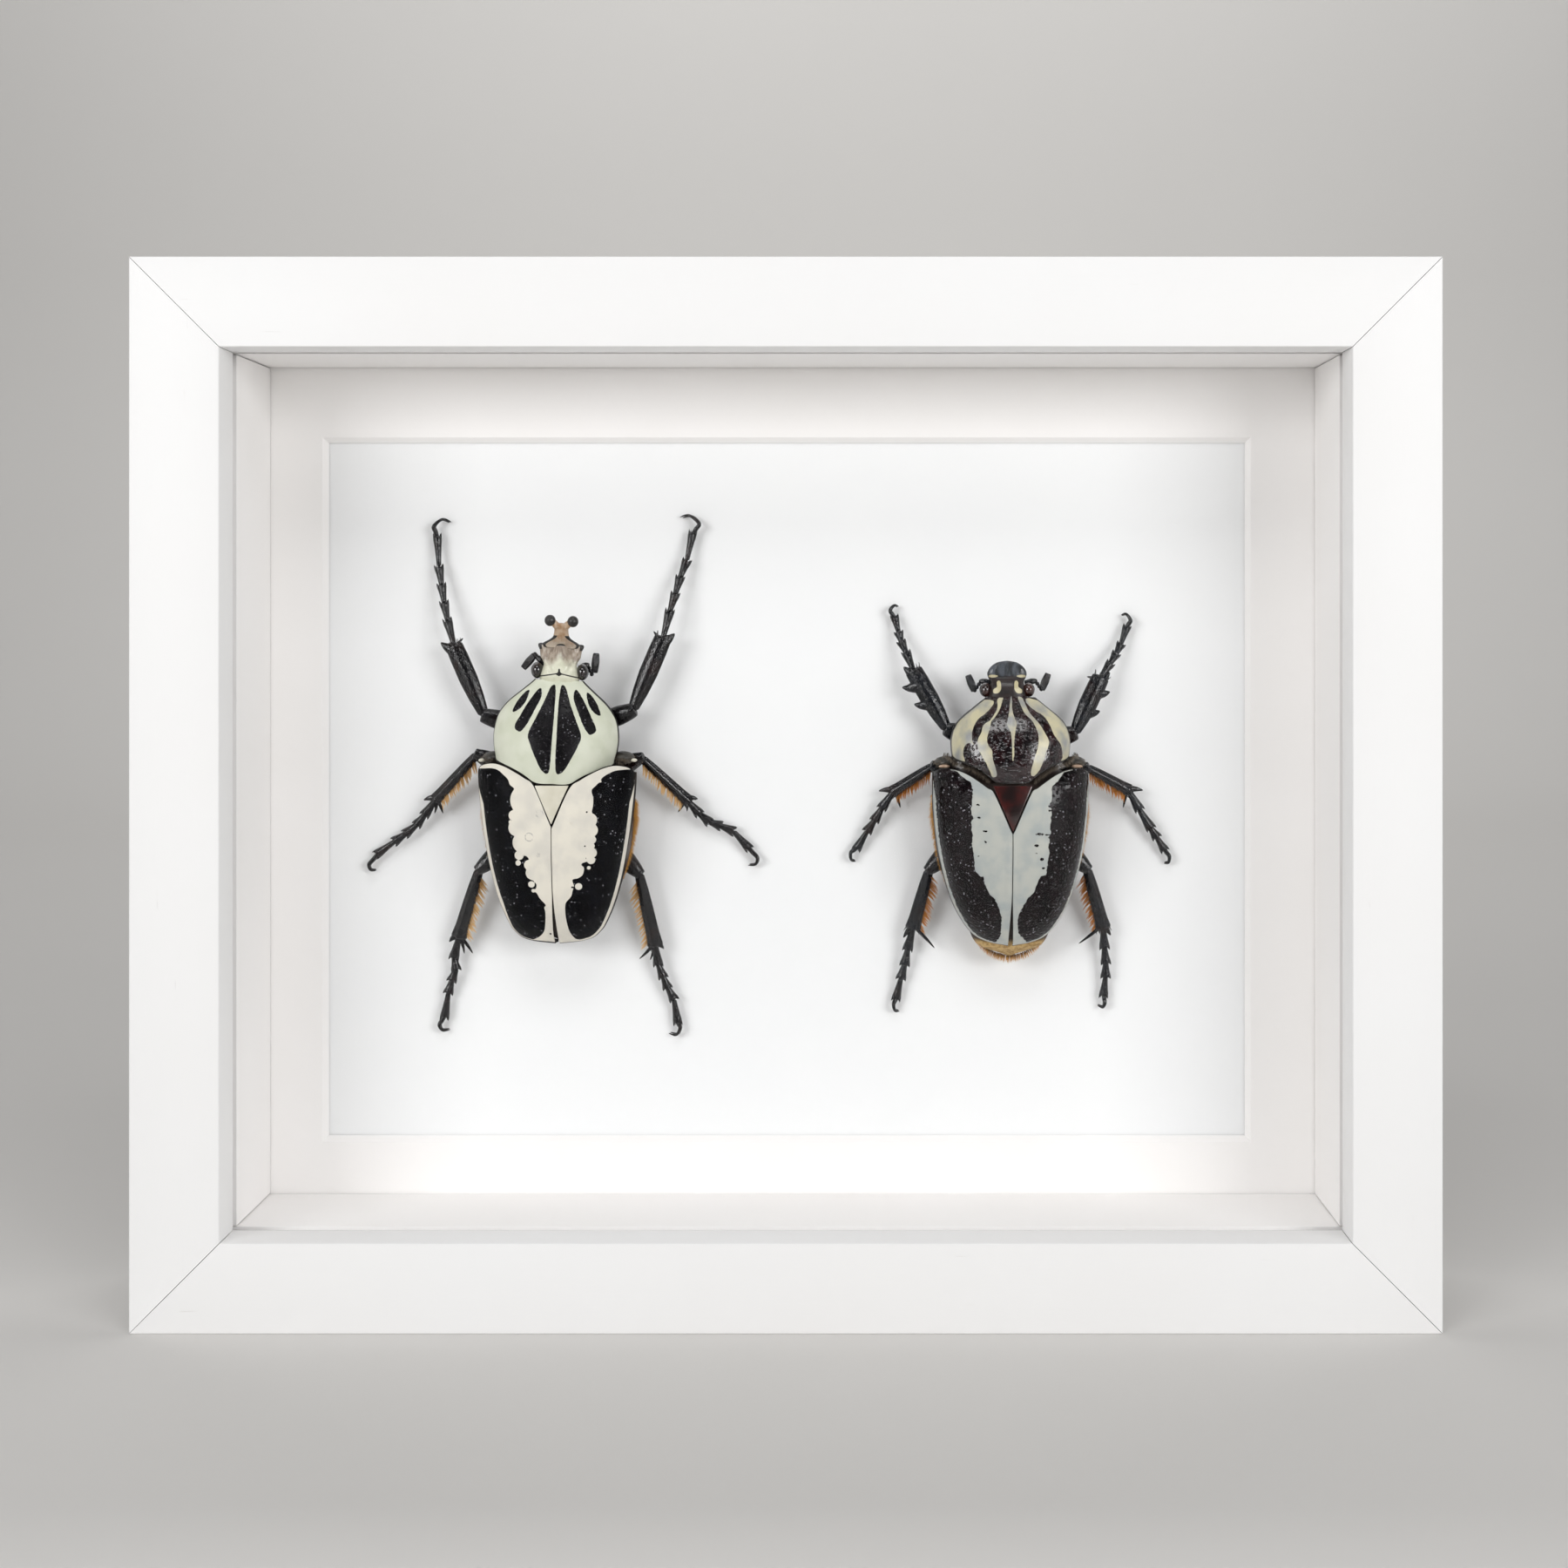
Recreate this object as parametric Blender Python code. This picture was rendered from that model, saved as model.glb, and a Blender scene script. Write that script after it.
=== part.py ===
"""A boxed pair of goliath beetles: a deep white wooden frame, glass, a window mount and two beetles.

Everything is in metres, +Z up. The frame stands on its bottom rail and faces -Y. Each beetle is modelled
lying on its belly, in millimetres, x to its right, y towards its head and z off the card, and then turned
up against the card. The male is built piece by piece, the female beside him as one plain solid.
"""

import math
import random
from dataclasses import dataclass

import bmesh
import bpy
from mathutils import Matrix, Vector

MM = 0.001
GAP = 0.3 * MM

# The wooden frame
FRAME_WIDTH = 325.0 * MM
FRAME_HEIGHT = 266.5 * MM
FRAME_DEPTH = 56.0 * MM
FACE_WIDTH = 22.4 * MM
LIP_DEPTH = 12.0 * MM
REBATE = 6.0 * MM

# What the frame holds, from front to back
GLASS_THICK = 2.0 * MM
SPACER_DEPTH = 30.0 * MM
MOUNT_THICK = 1.4 * MM
CARD_THICK = 5.0 * MM
PANEL_THICK = 3.0 * MM
TAB_SIZE = (9.0 * MM, 18.0 * MM, 0.6 * MM)

# The window in the mount board, measured at its inner edge, and where its centre lies
WINDOW_WIDTH = 246.3 * MM
WINDOW_HEIGHT = 186.2 * MM
WINDOW_SHIFT = (-1.6 * MM, -2.4 * MM)

FRONT_Y = -FRAME_DEPTH / 2
CENTRE_Z = FRAME_HEIGHT / 2
GLASS_Y = FRONT_Y + LIP_DEPTH
SPACER_Y = GLASS_Y + GLASS_THICK + GAP
MOUNT_Y = SPACER_Y + SPACER_DEPTH + GAP
CARD_Y = MOUNT_Y + MOUNT_THICK + GAP
PANEL_Y = CARD_Y + CARD_THICK + GAP
TAB_Y = PANEL_Y + PANEL_THICK + GAP

# Where each beetle's waist lies on the card, as x and height
MALE_PLACE = (-61.4 * MM, 133.2 * MM)
FEMALE_PLACE = (57.7 * MM, 133.9 * MM)

# The male's head and front shield lean a little out of line with his body
FRONT_SHIFT = -0.9
FRONT_YAW = math.radians(-3.0)
FRONT_ROLL = math.radians(5.0)
FRONT_PIVOT_HEIGHT = 13.0

SIDES = 20
FEMALE_SIDES = 16
SHELL_WALL = 1.1
SHELL_CLEARANCE = 0.4
FOOT_SINK = 1.0
TOOTH_LEAN = 1.6

# Stations along a body form, in millimetres: y, half width, height of the back, of the side seam and
# of the belly. Each table is read as one smooth curve through its rows.
ELYTRA = (
    (6.0, 18.0, 20.5, 13.4, 12.4),
    (3.4, 20.7, 22.8, 12.3, 11.5),
    (-3.0, 20.4, 24.0, 11.8, 11.0),
    (-13.0, 19.2, 24.2, 11.3, 10.5),
    (-23.0, 17.4, 23.0, 11.0, 10.2),
    (-31.0, 15.2, 20.8, 10.9, 10.1),
    (-37.0, 12.4, 17.6, 10.9, 10.1),
    (-40.4, 8.8, 14.6, 11.0, 10.3),
    (-41.8, 3.0, 12.5, 11.2, 10.8),
)
PRONOTUM = (
    (0.4, 4.6, 22.4, 20.6, 18.6),
    (3.4, 8.6, 23.2, 18.4, 15.2),
    (5.6, 12.9, 23.7, 16.0, 12.8),
    (8.2, 15.8, 23.9, 13.4, 11.6),
    (13.0, 16.4, 23.2, 12.5, 11.4),
    (18.0, 15.5, 21.0, 12.6, 11.5),
    (23.0, 11.7, 18.4, 13.2, 11.8),
    (27.2, 7.0, 15.8, 14.0, 12.2),
)
PROSTERNUM = (
    (2.4, 9.0, 12.6, 9.0, 5.0),
    (8.0, 12.6, 12.8, 9.0, 3.6),
    (15.0, 13.2, 12.8, 9.2, 3.8),
    (21.0, 10.6, 12.8, 9.6, 5.6),
    (26.4, 6.0, 12.8, 10.4, 8.4),
)
UNDERBODY = (
    (7.4, 13.6, 13.4, 9.4, 5.0),
    (4.4, 17.2, 13.6, 8.8, 2.6),
    (-1.0, 19.2, 12.4, 8.6, 0.8),
    (-8.0, 20.2, 11.6, 8.8, 0.3),
    (-18.0, 19.2, 11.4, 8.8, 0.3),
    (-28.0, 15.8, 11.2, 8.6, 0.6),
    (-36.0, 12.0, 11.2, 8.4, 2.2),
    (-40.4, 7.6, 11.2, 9.0, 5.4),
    (-41.5, 3.6, 11.4, 10.2, 8.6),
)
HEAD = (
    (26.4, 5.0, 15.6, 12.6, 8.0),
    (28.4, 6.2, 16.8, 12.8, 7.6),
    (31.4, 5.6, 16.6, 13.2, 8.2),
    (34.0, 5.3, 15.4, 13.2, 9.6),
    (36.2, 5.7, 14.8, 13.4, 11.6),
    (37.2, 4.9, 14.5, 13.6, 12.6),
)
WAIST_CUT = -15.5

# The forked horn: its stem as y, half width, top, middle and underside, then the fork's two knobs
HORN_STEM = (
    (36.0, 5.2, 14.5, 13.8, 13.1),
    (37.6, 4.2, 15.0, 14.1, 13.2),
    (38.8, 2.7, 15.9, 14.8, 13.7),
    (39.8, 1.75, 16.9, 15.7, 14.6),
    (41.0, 1.65, 17.7, 16.6, 15.5),
    (42.0, 2.0, 18.3, 17.3, 16.4),
)
FORK_ROOT = (0.9, 41.3, 16.9)
KNOB = (2.95, 43.05, 18.0)
KNOB_RADIUS = 1.25

# Eyes, mouthparts and feelers of the male
EYE = (5.8, 29.6, 13.2)
EYE_RADII = (1.6, 2.1, 2.1)
MAXILLA = (2.6, 32.6, 8.8)
MAXILLA_RADII = (1.7, 3.2, 1.9)
CHIN = (0.0, 29.6, 7.6)
CHIN_RADII = (2.6, 3.6, 1.5)
FEELER_LEFT = (
    (-4.0, 31.0, 11.6), (-6.3, 33.4, 10.8), (-6.6, 34.0, 10.5), (-8.2, 31.9, 10.0), (-9.8, 29.9, 9.5)
)
FEELER_RIGHT = (
    (4.6, 30.8, 11.6), (6.8, 31.8, 10.8), (8.0, 29.4, 10.2), (9.0, 29.9, 9.9), (9.1, 35.0, 9.8)
)
FEELER_RADII = (0.55, 0.5, 0.7, 0.95, 0.5)
FEELER_RADII_RIGHT = (0.6, 0.5, 0.45, 0.75, 0.55)

# The haired side plates that show between the front shield and the wing covers' shoulders
SIDE_PLATE = (16.2, 6.3, 11.3)
SIDE_PLATE_RADII = (3.9, 3.5, 4.3)

# The triangular plate between the wing covers, at its wide end and its point
SCUTELLUM_FRONT = 0.8
SCUTELLUM_HALF_WIDTH = 4.5
SCUTELLUM_TIP = -9.6
SCUTELLUM_FLOOR = 20.4
SEAM = 0.3

# The female: the same forms, rounder, without a horn
FEMALE_ELYTRA = (
    (3.4, 18.6, 20.6, 12.6, 11.4),
    (0.6, 20.6, 22.4, 12.0, 11.0),
    (-8.0, 20.4, 23.6, 11.4, 10.4),
    (-20.0, 18.8, 23.2, 11.0, 10.0),
    (-31.0, 15.8, 20.4, 10.9, 9.9),
    (-37.6, 12.2, 17.0, 10.9, 9.9),
    (-42.0, 7.2, 13.6, 11.0, 10.2),
    (-43.4, 2.4, 12.0, 11.0, 10.4),
)
FEMALE_PRONOTUM = (
    (-0.2, 4.0, 21.2, 18.8, 14.0),
    (2.6, 9.6, 22.4, 16.4, 10.0),
    (5.4, 14.2, 22.6, 13.2, 8.0),
    (10.4, 15.7, 21.6, 12.2, 6.0),
    (15.6, 14.5, 19.2, 12.4, 6.0),
    (19.6, 10.6, 16.8, 12.8, 7.0),
    (22.4, 6.6, 15.0, 13.2, 9.0),
)
FEMALE_UNDERBODY = (
    (6.0, 10.0, 13.0, 8.0, 4.0),
    (0.0, 17.0, 13.0, 8.6, 1.2),
    (-10.0, 20.0, 13.0, 8.8, 0.3),
    (-22.0, 19.0, 13.0, 8.6, 0.3),
    (-34.0, 14.6, 12.0, 8.4, 1.4),
    (-42.0, 8.6, 11.0, 8.6, 4.4),
    (-46.8, 3.4, 9.0, 7.6, 6.2),
)
FEMALE_HEAD = (
    (20.6, 5.2, 14.8, 11.6, 7.6),
    (24.2, 5.8, 15.0, 11.8, 7.8),
    (27.0, 5.0, 13.8, 11.6, 8.6),
    (30.2, 5.2, 12.8, 11.4, 10.0),
    (31.8, 3.6, 12.0, 11.2, 10.4),
)
FEMALE_HEAD_SHIFT = -0.6
FEMALE_EYE = (5.7, 24.1, 12.2)
FEMALE_SIDE_PLATE = (16.6, 4.6, 11.4)
FEMALE_FEELER_LEFT = ((-5.0, 26.0, 10.4), (-8.0, 26.1, 9.8), (-9.4, 23.7, 9.4), (-11.0, 28.0, 9.2))
FEMALE_FEELER_RIGHT = ((4.4, 26.0, 10.4), (7.0, 26.3, 9.8), (8.2, 24.0, 9.4), (10.1, 28.3, 9.2))


@dataclass
class Leg:
    """One leg, in the beetle's own millimetres, from the body out to the tip of its claws."""

    root: tuple
    knee: tuple
    ankle: tuple
    teeth: tuple
    spurs: tuple
    joints: tuple
    claw: tuple


@dataclass
class LegKind:
    """Thicknesses that the left and the right leg of one pair share, as radii seen from above."""

    femur: tuple
    tibia: tuple
    foot: float
    fringe: float


FORE = LegKind(femur=(1.9, 2.7, 2.6, 2.0), tibia=(1.2, 2.0, 2.4, 2.4, 2.2), foot=0.85, fringe=0.0)
MID = LegKind(femur=(1.9, 2.7, 2.5, 1.5), tibia=(1.0, 1.3, 1.35, 1.4, 1.6), foot=0.8, fringe=2.6)
HIND = LegKind(femur=(2.0, 2.8, 2.6, 1.6), tibia=(1.1, 1.7, 1.9, 1.9, 2.1), foot=0.8, fringe=2.3)

MALE_LEGS = {
    "fore_left": (FORE, Leg(
        root=(-6.0, 13.6, 5.4), knee=(-20.0, 17.8, 8.6), ankle=(-28.6, 36.9, 7.2),
        teeth=((-31.9, 37.2, 7.2),), spurs=((-26.0, 38.4, 6.8),),
        joints=((-30.3, 42.9, 6.0), (-31.4, 47.7, 5.0), (-32.3, 52.4, 4.0),
                (-33.2, 57.3, 3.0), (-33.8, 65.4, 2.2)),
        claw=((-34.6, 68.3, 2.6), (-32.3, 70.2, 2.0), (-30.2, 69.4, 1.0)))),
    "fore_right": (FORE, Leg(
        root=(6.0, 14.2, 5.4), knee=(19.2, 19.2, 8.6), ankle=(27.4, 38.9, 7.2),
        teeth=((30.3, 39.6, 7.2),), spurs=((24.6, 40.2, 6.8),),
        joints=((28.8, 45.3, 6.0), (30.2, 50.0, 5.0), (31.4, 54.4, 4.0),
                (33.1, 58.9, 3.0), (34.6, 66.3, 2.2)),
        claw=((36.4, 69.0, 2.6), (33.7, 71.2, 2.0), (31.1, 70.8, 1.0)))),
    "mid_left": (MID, Leg(
        root=(-8.0, 0.4, 4.4), knee=(-22.0, 7.6, 8.4), ankle=(-34.2, -5.2, 4.6),
        teeth=((-37.0, -4.9, 4.6),), spurs=((-34.3, -8.6, 3.4), (-32.1, -8.6, 3.2)),
        joints=((-36.8, -8.8, 3.6), (-39.0, -11.5, 3.2), (-42.1, -14.0, 2.8),
                (-45.1, -16.1, 2.5), (-50.0, -19.6, 2.0)),
        claw=((-52.1, -22.4, 2.2), (-51.6, -23.9, 1.7), (-50.3, -24.0, 1.0)))),
    "mid_right": (MID, Leg(
        root=(8.0, 0.6, 4.4), knee=(21.5, 6.7, 8.4), ankle=(34.0, -5.5, 4.6),
        teeth=((36.2, -4.6, 4.6),), spurs=((30.8, -8.3, 3.4), (33.2, -8.1, 3.2)),
        joints=((36.4, -8.5, 3.6), (39.0, -10.8, 3.2), (42.0, -11.9, 2.8),
                (45.5, -13.4, 2.5), (49.6, -17.9, 2.0)),
        claw=((52.0, -20.6, 2.2), (51.4, -22.4, 1.7), (49.4, -22.7, 1.0)))),
    "hind_left": (HIND, Leg(
        root=(-8.0, -11.6, 4.4), knee=(-21.6, -23.0, 7.4), ankle=(-27.8, -42.0, 4.4),
        teeth=((-30.2, -42.8, 4.4),), spurs=((-24.1, -46.1, 3.2), (-26.4, -46.2, 3.0)),
        joints=((-29.1, -47.1, 3.4), (-28.6, -50.2, 3.1), (-29.8, -53.3, 2.7),
                (-30.8, -56.6, 2.4), (-31.9, -63.3, 2.0)),
        claw=((-33.2, -65.4, 2.2), (-32.3, -66.9, 1.7), (-30.5, -66.8, 1.0)))),
    "hind_right": (HIND, Leg(
        root=(8.0, -12.0, 4.4), knee=(20.8, -24.0, 7.4), ankle=(25.0, -44.3, 4.4),
        teeth=((27.1, -44.6, 4.4),), spurs=((20.4, -47.6, 3.2), (23.3, -47.9, 3.0)),
        joints=((25.5, -48.9, 3.4), (26.8, -52.3, 3.1), (27.9, -55.2, 2.7),
                (29.6, -58.4, 2.4), (30.6, -64.7, 2.0)),
        claw=((31.3, -66.2, 2.2), (30.2, -68.1, 1.7), (28.1, -67.8, 1.0)))),
}

FEMALE_LEGS = {
    "fore_left": (FORE, Leg(
        root=(-7.0, 10.0, 6.0), knee=(-16.4, 13.4, 8.6), ankle=(-25.6, 29.5, 6.6),
        teeth=((-28.0, 30.0, 6.4), (-28.4, 24.6, 6.8), (-25.2, 20.1, 7.2)), spurs=((-23.2, 29.4, 6.2),),
        joints=((-27.2, 33.6, 5.2), (-28.5, 36.5, 4.2), (-29.2, 39.0, 3.2), (-30.3, 43.2, 2.2)),
        claw=((-31.5, 45.0, 2.4), (-30.4, 46.4, 1.8), (-29.2, 46.1, 1.0)))),
    "fore_right": (FORE, Leg(
        root=(7.0, 9.6, 6.0), knee=(17.2, 12.4, 8.6), ankle=(24.7, 27.7, 6.6),
        teeth=((26.9, 28.6, 6.4), (26.9, 23.4, 6.8), (24.2, 18.3, 7.2)), spurs=((20.8, 27.4, 6.2),),
        joints=((27.1, 30.8, 5.2), (28.8, 33.4, 4.2), (30.2, 35.9, 3.2), (31.9, 40.5, 2.2)),
        claw=((32.9, 42.4, 2.4), (31.7, 44.1, 1.8), (30.5, 43.8, 1.0)))),
    "mid_left": (MID, Leg(
        root=(-9.0, -2.0, 5.0), knee=(-20.2, 3.8, 8.4), ankle=(-31.2, -3.6, 4.6),
        teeth=((-34.6, -3.2, 4.4),), spurs=((-28.8, -7.8, 3.4),),
        joints=((-33.6, -7.6, 3.6), (-35.6, -11.0, 3.1), (-37.6, -14.0, 2.7), (-40.4, -18.7, 2.0)),
        claw=((-42.1, -20.0, 2.2), (-41.9, -21.9, 1.7), (-40.7, -22.4, 1.0)))),
    "mid_right": (MID, Leg(
        root=(9.0, -2.0, 5.0), knee=(20.6, 3.4, 8.4), ankle=(32.6, -3.2, 4.6),
        teeth=((36.0, -3.0, 4.4),), spurs=((30.8, -7.8, 3.4),),
        joints=((35.0, -8.0, 3.6), (38.1, -13.0, 3.1), (39.8, -15.6, 2.7), (42.0, -19.1, 2.0)),
        claw=((43.3, -20.9, 2.2), (43.1, -22.6, 1.7), (42.0, -22.9, 1.0)))),
    "hind_left": (HIND, Leg(
        root=(-9.0, -13.0, 5.0), knee=(-21.2, -23.8, 7.4), ankle=(-25.6, -40.3, 4.4),
        teeth=((-28.0, -42.4, 4.2),), spurs=((-19.6, -45.4, 3.2),),
        joints=((-26.8, -45.4, 3.4), (-27.6, -49.6, 3.0), (-28.6, -53.4, 2.5), (-29.9, -59.0, 2.0)),
        claw=((-30.6, -60.6, 2.2), (-30.2, -62.3, 1.7), (-29.0, -62.6, 1.0)))),
    "hind_right": (HIND, Leg(
        root=(9.0, -13.0, 5.0), knee=(20.7, -23.5, 7.4), ankle=(25.5, -40.2, 4.4),
        teeth=((27.4, -41.8, 4.2),), spurs=((18.9, -44.2, 3.2),),
        joints=((25.8, -45.0, 3.4), (26.2, -49.2, 3.0), (26.2, -53.0, 2.5), (25.7, -58.2, 2.0)),
        claw=((26.0, -60.2, 2.2), (25.4, -61.4, 1.7), (24.1, -60.9, 1.0)))),
}


def start_scene():
    for obj in list(bpy.data.objects):
        bpy.data.objects.remove(obj)
    for name in ("boxed_goliath_beetles", "cutters"):
        collection = bpy.data.collections.new(name)
        bpy.context.scene.collection.children.link(collection)


def finish(name, rgb, roughness, alpha=1.0):
    """A plain Principled material with the part's own colour."""
    material = bpy.data.materials.new(name)
    material.use_nodes = True
    shader = material.node_tree.nodes["Principled BSDF"]
    shader.inputs["Base Color"].default_value = (*rgb, 1.0)
    shader.inputs["Roughness"].default_value = roughness
    shader.inputs["Metallic"].default_value = 0.0
    shader.inputs["Alpha"].default_value = alpha
    return material


def helper_object(bm):
    """A mesh that other pieces are made from, kept out of the render."""
    bmesh.ops.recalc_face_normals(bm, faces=bm.faces)
    mesh = bpy.data.meshes.new("helper")
    bm.to_mesh(mesh)
    bm.free()
    obj = bpy.data.objects.new("helper", mesh)
    obj.hide_render = True
    obj.display_type = "WIRE"
    bpy.data.collections["cutters"].objects.link(obj)
    return obj


def make_part(obj, name, material, parent=None):
    """Turns a finished helper into a named part of the model."""
    bpy.data.collections["cutters"].objects.unlink(obj)
    bpy.data.collections["boxed_goliath_beetles"].objects.link(obj)
    obj.hide_render = False
    obj.display_type = "TEXTURED"
    obj.name = name
    obj.data.name = name
    obj.data.materials.clear()
    obj.data.materials.append(material)
    obj.parent = parent
    return obj


def settle(obj):
    """Applies the object's modifiers."""
    graph = bpy.context.evaluated_depsgraph_get()
    mesh = bpy.data.meshes.new_from_object(obj.evaluated_get(graph), depsgraph=graph)
    obj.modifiers.clear()
    old = obj.data
    obj.data = mesh
    bpy.data.meshes.remove(old)


def remove(objects):
    for obj in objects:
        mesh = obj.data
        bpy.data.objects.remove(obj)
        bpy.data.meshes.remove(mesh)


def keep_largest(obj):
    """Drops every closed surface of the mesh but the one that holds the most."""
    bm = bmesh.new()
    bm.from_mesh(obj.data)
    bmesh.ops.triangulate(bm, faces=bm.faces)
    waiting = set(bm.faces)
    surfaces = []
    while waiting:
        surface = []
        front = [waiting.pop()]
        while front:
            face = front.pop()
            surface.append(face)
            for edge in face.edges:
                for other in edge.link_faces:
                    if other in waiting:
                        waiting.remove(other)
                        front.append(other)
        corners = [[vert.co for vert in face.verts] for face in surface]
        volume = sum(a.dot(b.cross(c)) for a, b, c in corners)
        surfaces.append((volume, surface))
    surfaces.sort(key=lambda entry: entry[0])
    for _, surface in surfaces[:-1]:
        bmesh.ops.delete(bm, geom=surface, context="FACES")
    bm.to_mesh(obj.data)
    bm.free()


def combine(obj, others, operation):
    """One Boolean on a collection of closed meshes, applied."""
    group = bpy.data.collections.new("group")
    bpy.context.scene.collection.children.link(group)
    for other in others:
        group.objects.link(other)
    modifier = obj.modifiers.new("combine", "BOOLEAN")
    modifier.operation = operation
    modifier.operand_type = "COLLECTION"
    modifier.collection = group
    settle(obj)
    for other in others:
        group.objects.unlink(other)
    bpy.data.collections.remove(group)
    remove(others)
    keep_largest(obj)
    return obj


def fuse(pieces):
    return combine(pieces[0], pieces[1:], "UNION")


def duplicate(obj):
    copy = obj.copy()
    copy.data = obj.data.copy()
    bpy.data.collections["cutters"].objects.link(copy)
    return copy


def swollen(obj, by):
    """A copy of the object with every face moved outwards."""
    copy = duplicate(obj)
    bm = bmesh.new()
    bm.from_mesh(copy.data)
    bmesh.ops.recalc_face_normals(bm, faces=bm.faces)
    bm.normal_update()
    for vert in bm.verts:
        normals = [face.normal for face in vert.link_faces]
        lean = min(max(vert.normal.dot(normal), 0.5) for normal in normals)
        vert.co += vert.normal * by / lean
    bm.to_mesh(copy.data)
    bm.free()
    return copy


def clear(obj, neighbours):
    """Cuts the object back until it stands a thin gap clear of its neighbours."""
    return combine(obj, [swollen(other, GAP) for other in neighbours], "DIFFERENCE")


def split_at(obj, normal, place):
    """Keeps what lies past the plane through one place, on the side that the normal points to."""
    bm = bmesh.new()
    bm.from_mesh(obj.data)
    geometry = list(bm.verts) + list(bm.edges) + list(bm.faces)
    cut = bmesh.ops.bisect_plane(
        bm, geom=geometry, plane_co=place, plane_no=normal, clear_inner=True, dist=1e-7
    )
    edges = [item for item in cut["geom_cut"] if isinstance(item, bmesh.types.BMEdge)]
    bmesh.ops.contextual_create(bm, geom=edges)
    bmesh.ops.recalc_face_normals(bm, faces=bm.faces)
    bm.to_mesh(obj.data)
    bm.free()
    return obj


def box(low, high):
    """A box from its lowest and highest corners, in metres."""
    bm = bmesh.new()
    bmesh.ops.create_cube(bm, size=1.0)
    low = Vector(low)
    high = Vector(high)
    bmesh.ops.scale(bm, vec=high - low, verts=bm.verts)
    bmesh.ops.translate(bm, vec=(low + high) / 2, verts=bm.verts)
    return helper_object(bm)


def outline_solid(points, thickness, matrix):
    """A flat outline of x and y points, thickened evenly along z and then set in place by the matrix."""
    curve = bpy.data.curves.new("outline", "CURVE")
    curve.dimensions = "2D"
    curve.fill_mode = "BOTH"
    curve.extrude = thickness / 2
    spline = curve.splines.new("POLY")
    spline.points.add(len(points) - 1)
    spline.use_cyclic_u = True
    for point, (x, y) in zip(spline.points, points):
        point.co = (x, y, 0.0, 1.0)
    return mesh_of_curve(curve, matrix)


def mesh_of_curve(curve, matrix):
    """The closed mesh of a curve, its caps welded on."""
    guide = bpy.data.objects.new("guide", curve)
    bpy.data.collections["cutters"].objects.link(guide)
    graph = bpy.context.evaluated_depsgraph_get()
    mesh = bpy.data.meshes.new_from_object(guide.evaluated_get(graph))
    bpy.data.objects.remove(guide)
    bpy.data.curves.remove(curve)
    bm = bmesh.new()
    bm.from_mesh(mesh)
    bpy.data.meshes.remove(mesh)
    bmesh.ops.remove_doubles(bm, verts=bm.verts, dist=1e-6)
    bm.transform(matrix)
    return helper_object(bm)


def tube(points, radii, flat=1.0, rounding=2):
    """A limb or feeler: a round tube through points in millimetres, then flattened towards the card."""
    curve = bpy.data.curves.new("tube", "CURVE")
    curve.dimensions = "3D"
    curve.bevel_depth = MM
    curve.bevel_resolution = rounding
    curve.use_fill_caps = True
    spline = curve.splines.new("POLY")
    spline.points.add(len(points) - 1)
    for point, (x, y, z), radius in zip(spline.points, points, radii):
        point.co = (x * MM, y * MM, z * MM / flat, 1.0)
        point.radius = radius
    return mesh_of_curve(curve, Matrix.Diagonal((1.0, 1.0, flat, 1.0)))


def ball(centre, radii, segments=10, rings=7):
    bm = bmesh.new()
    bmesh.ops.create_uvsphere(bm, u_segments=segments, v_segments=rings, radius=MM)
    bmesh.ops.scale(bm, vec=radii, verts=bm.verts)
    bmesh.ops.translate(bm, vec=Vector(centre) * MM, verts=bm.verts)
    return helper_object(bm)


def spine(base, tip, radius):
    """A five-sided pointed spine, its root at base."""
    base = Vector(base) * MM
    tip = Vector(tip) * MM
    along = tip - base
    turn = along.to_track_quat("Z", "Y").to_matrix().to_4x4()
    place = Matrix.Translation((base + tip) / 2) @ turn
    bm = bmesh.new()
    sizes = {"radius1": radius * MM, "radius2": 0.12 * MM, "depth": along.length}
    bmesh.ops.create_cone(bm, cap_ends=True, segments=5, matrix=place, **sizes)
    return helper_object(bm)


def smooth(stations, between):
    """The stations with more set between them, on one smooth curve through them all."""
    full = []
    last = len(stations) - 1
    for index in range(last):
        before = stations[max(index - 1, 0)]
        start = stations[index]
        end = stations[index + 1]
        after = stations[min(index + 2, last)]
        for step in range(between + 1):
            t = step / (between + 1)
            row = []
            for a, b, c, d in zip(before, start, end, after):
                curve = 2 * b + (c - a) * t + (2 * a - 5 * b + 4 * c - d) * t**2
                row.append((curve + (3 * b - a - 3 * c + d) * t**3) / 2)
            full.append(tuple(row))
    full.append(stations[last])
    return full


def section(station, square, belly_square, sides):
    """One cross-section of a body form: a squared dome above the side seam and a rounder belly below."""
    y, half_width, back, seam, belly = station
    points = []
    for step in range(sides):
        turn = 2 * math.pi * step / sides
        across = math.cos(turn)
        rise = math.sin(turn)
        power = 2 / (square if rise >= 0 else belly_square)
        height = back - seam if rise >= 0 else seam - belly
        x = math.copysign(half_width * abs(across) ** power, across)
        z = seam + math.copysign(height * abs(rise) ** power, rise)
        points.append(Vector((x, y, z)) * MM)
    return points


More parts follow.
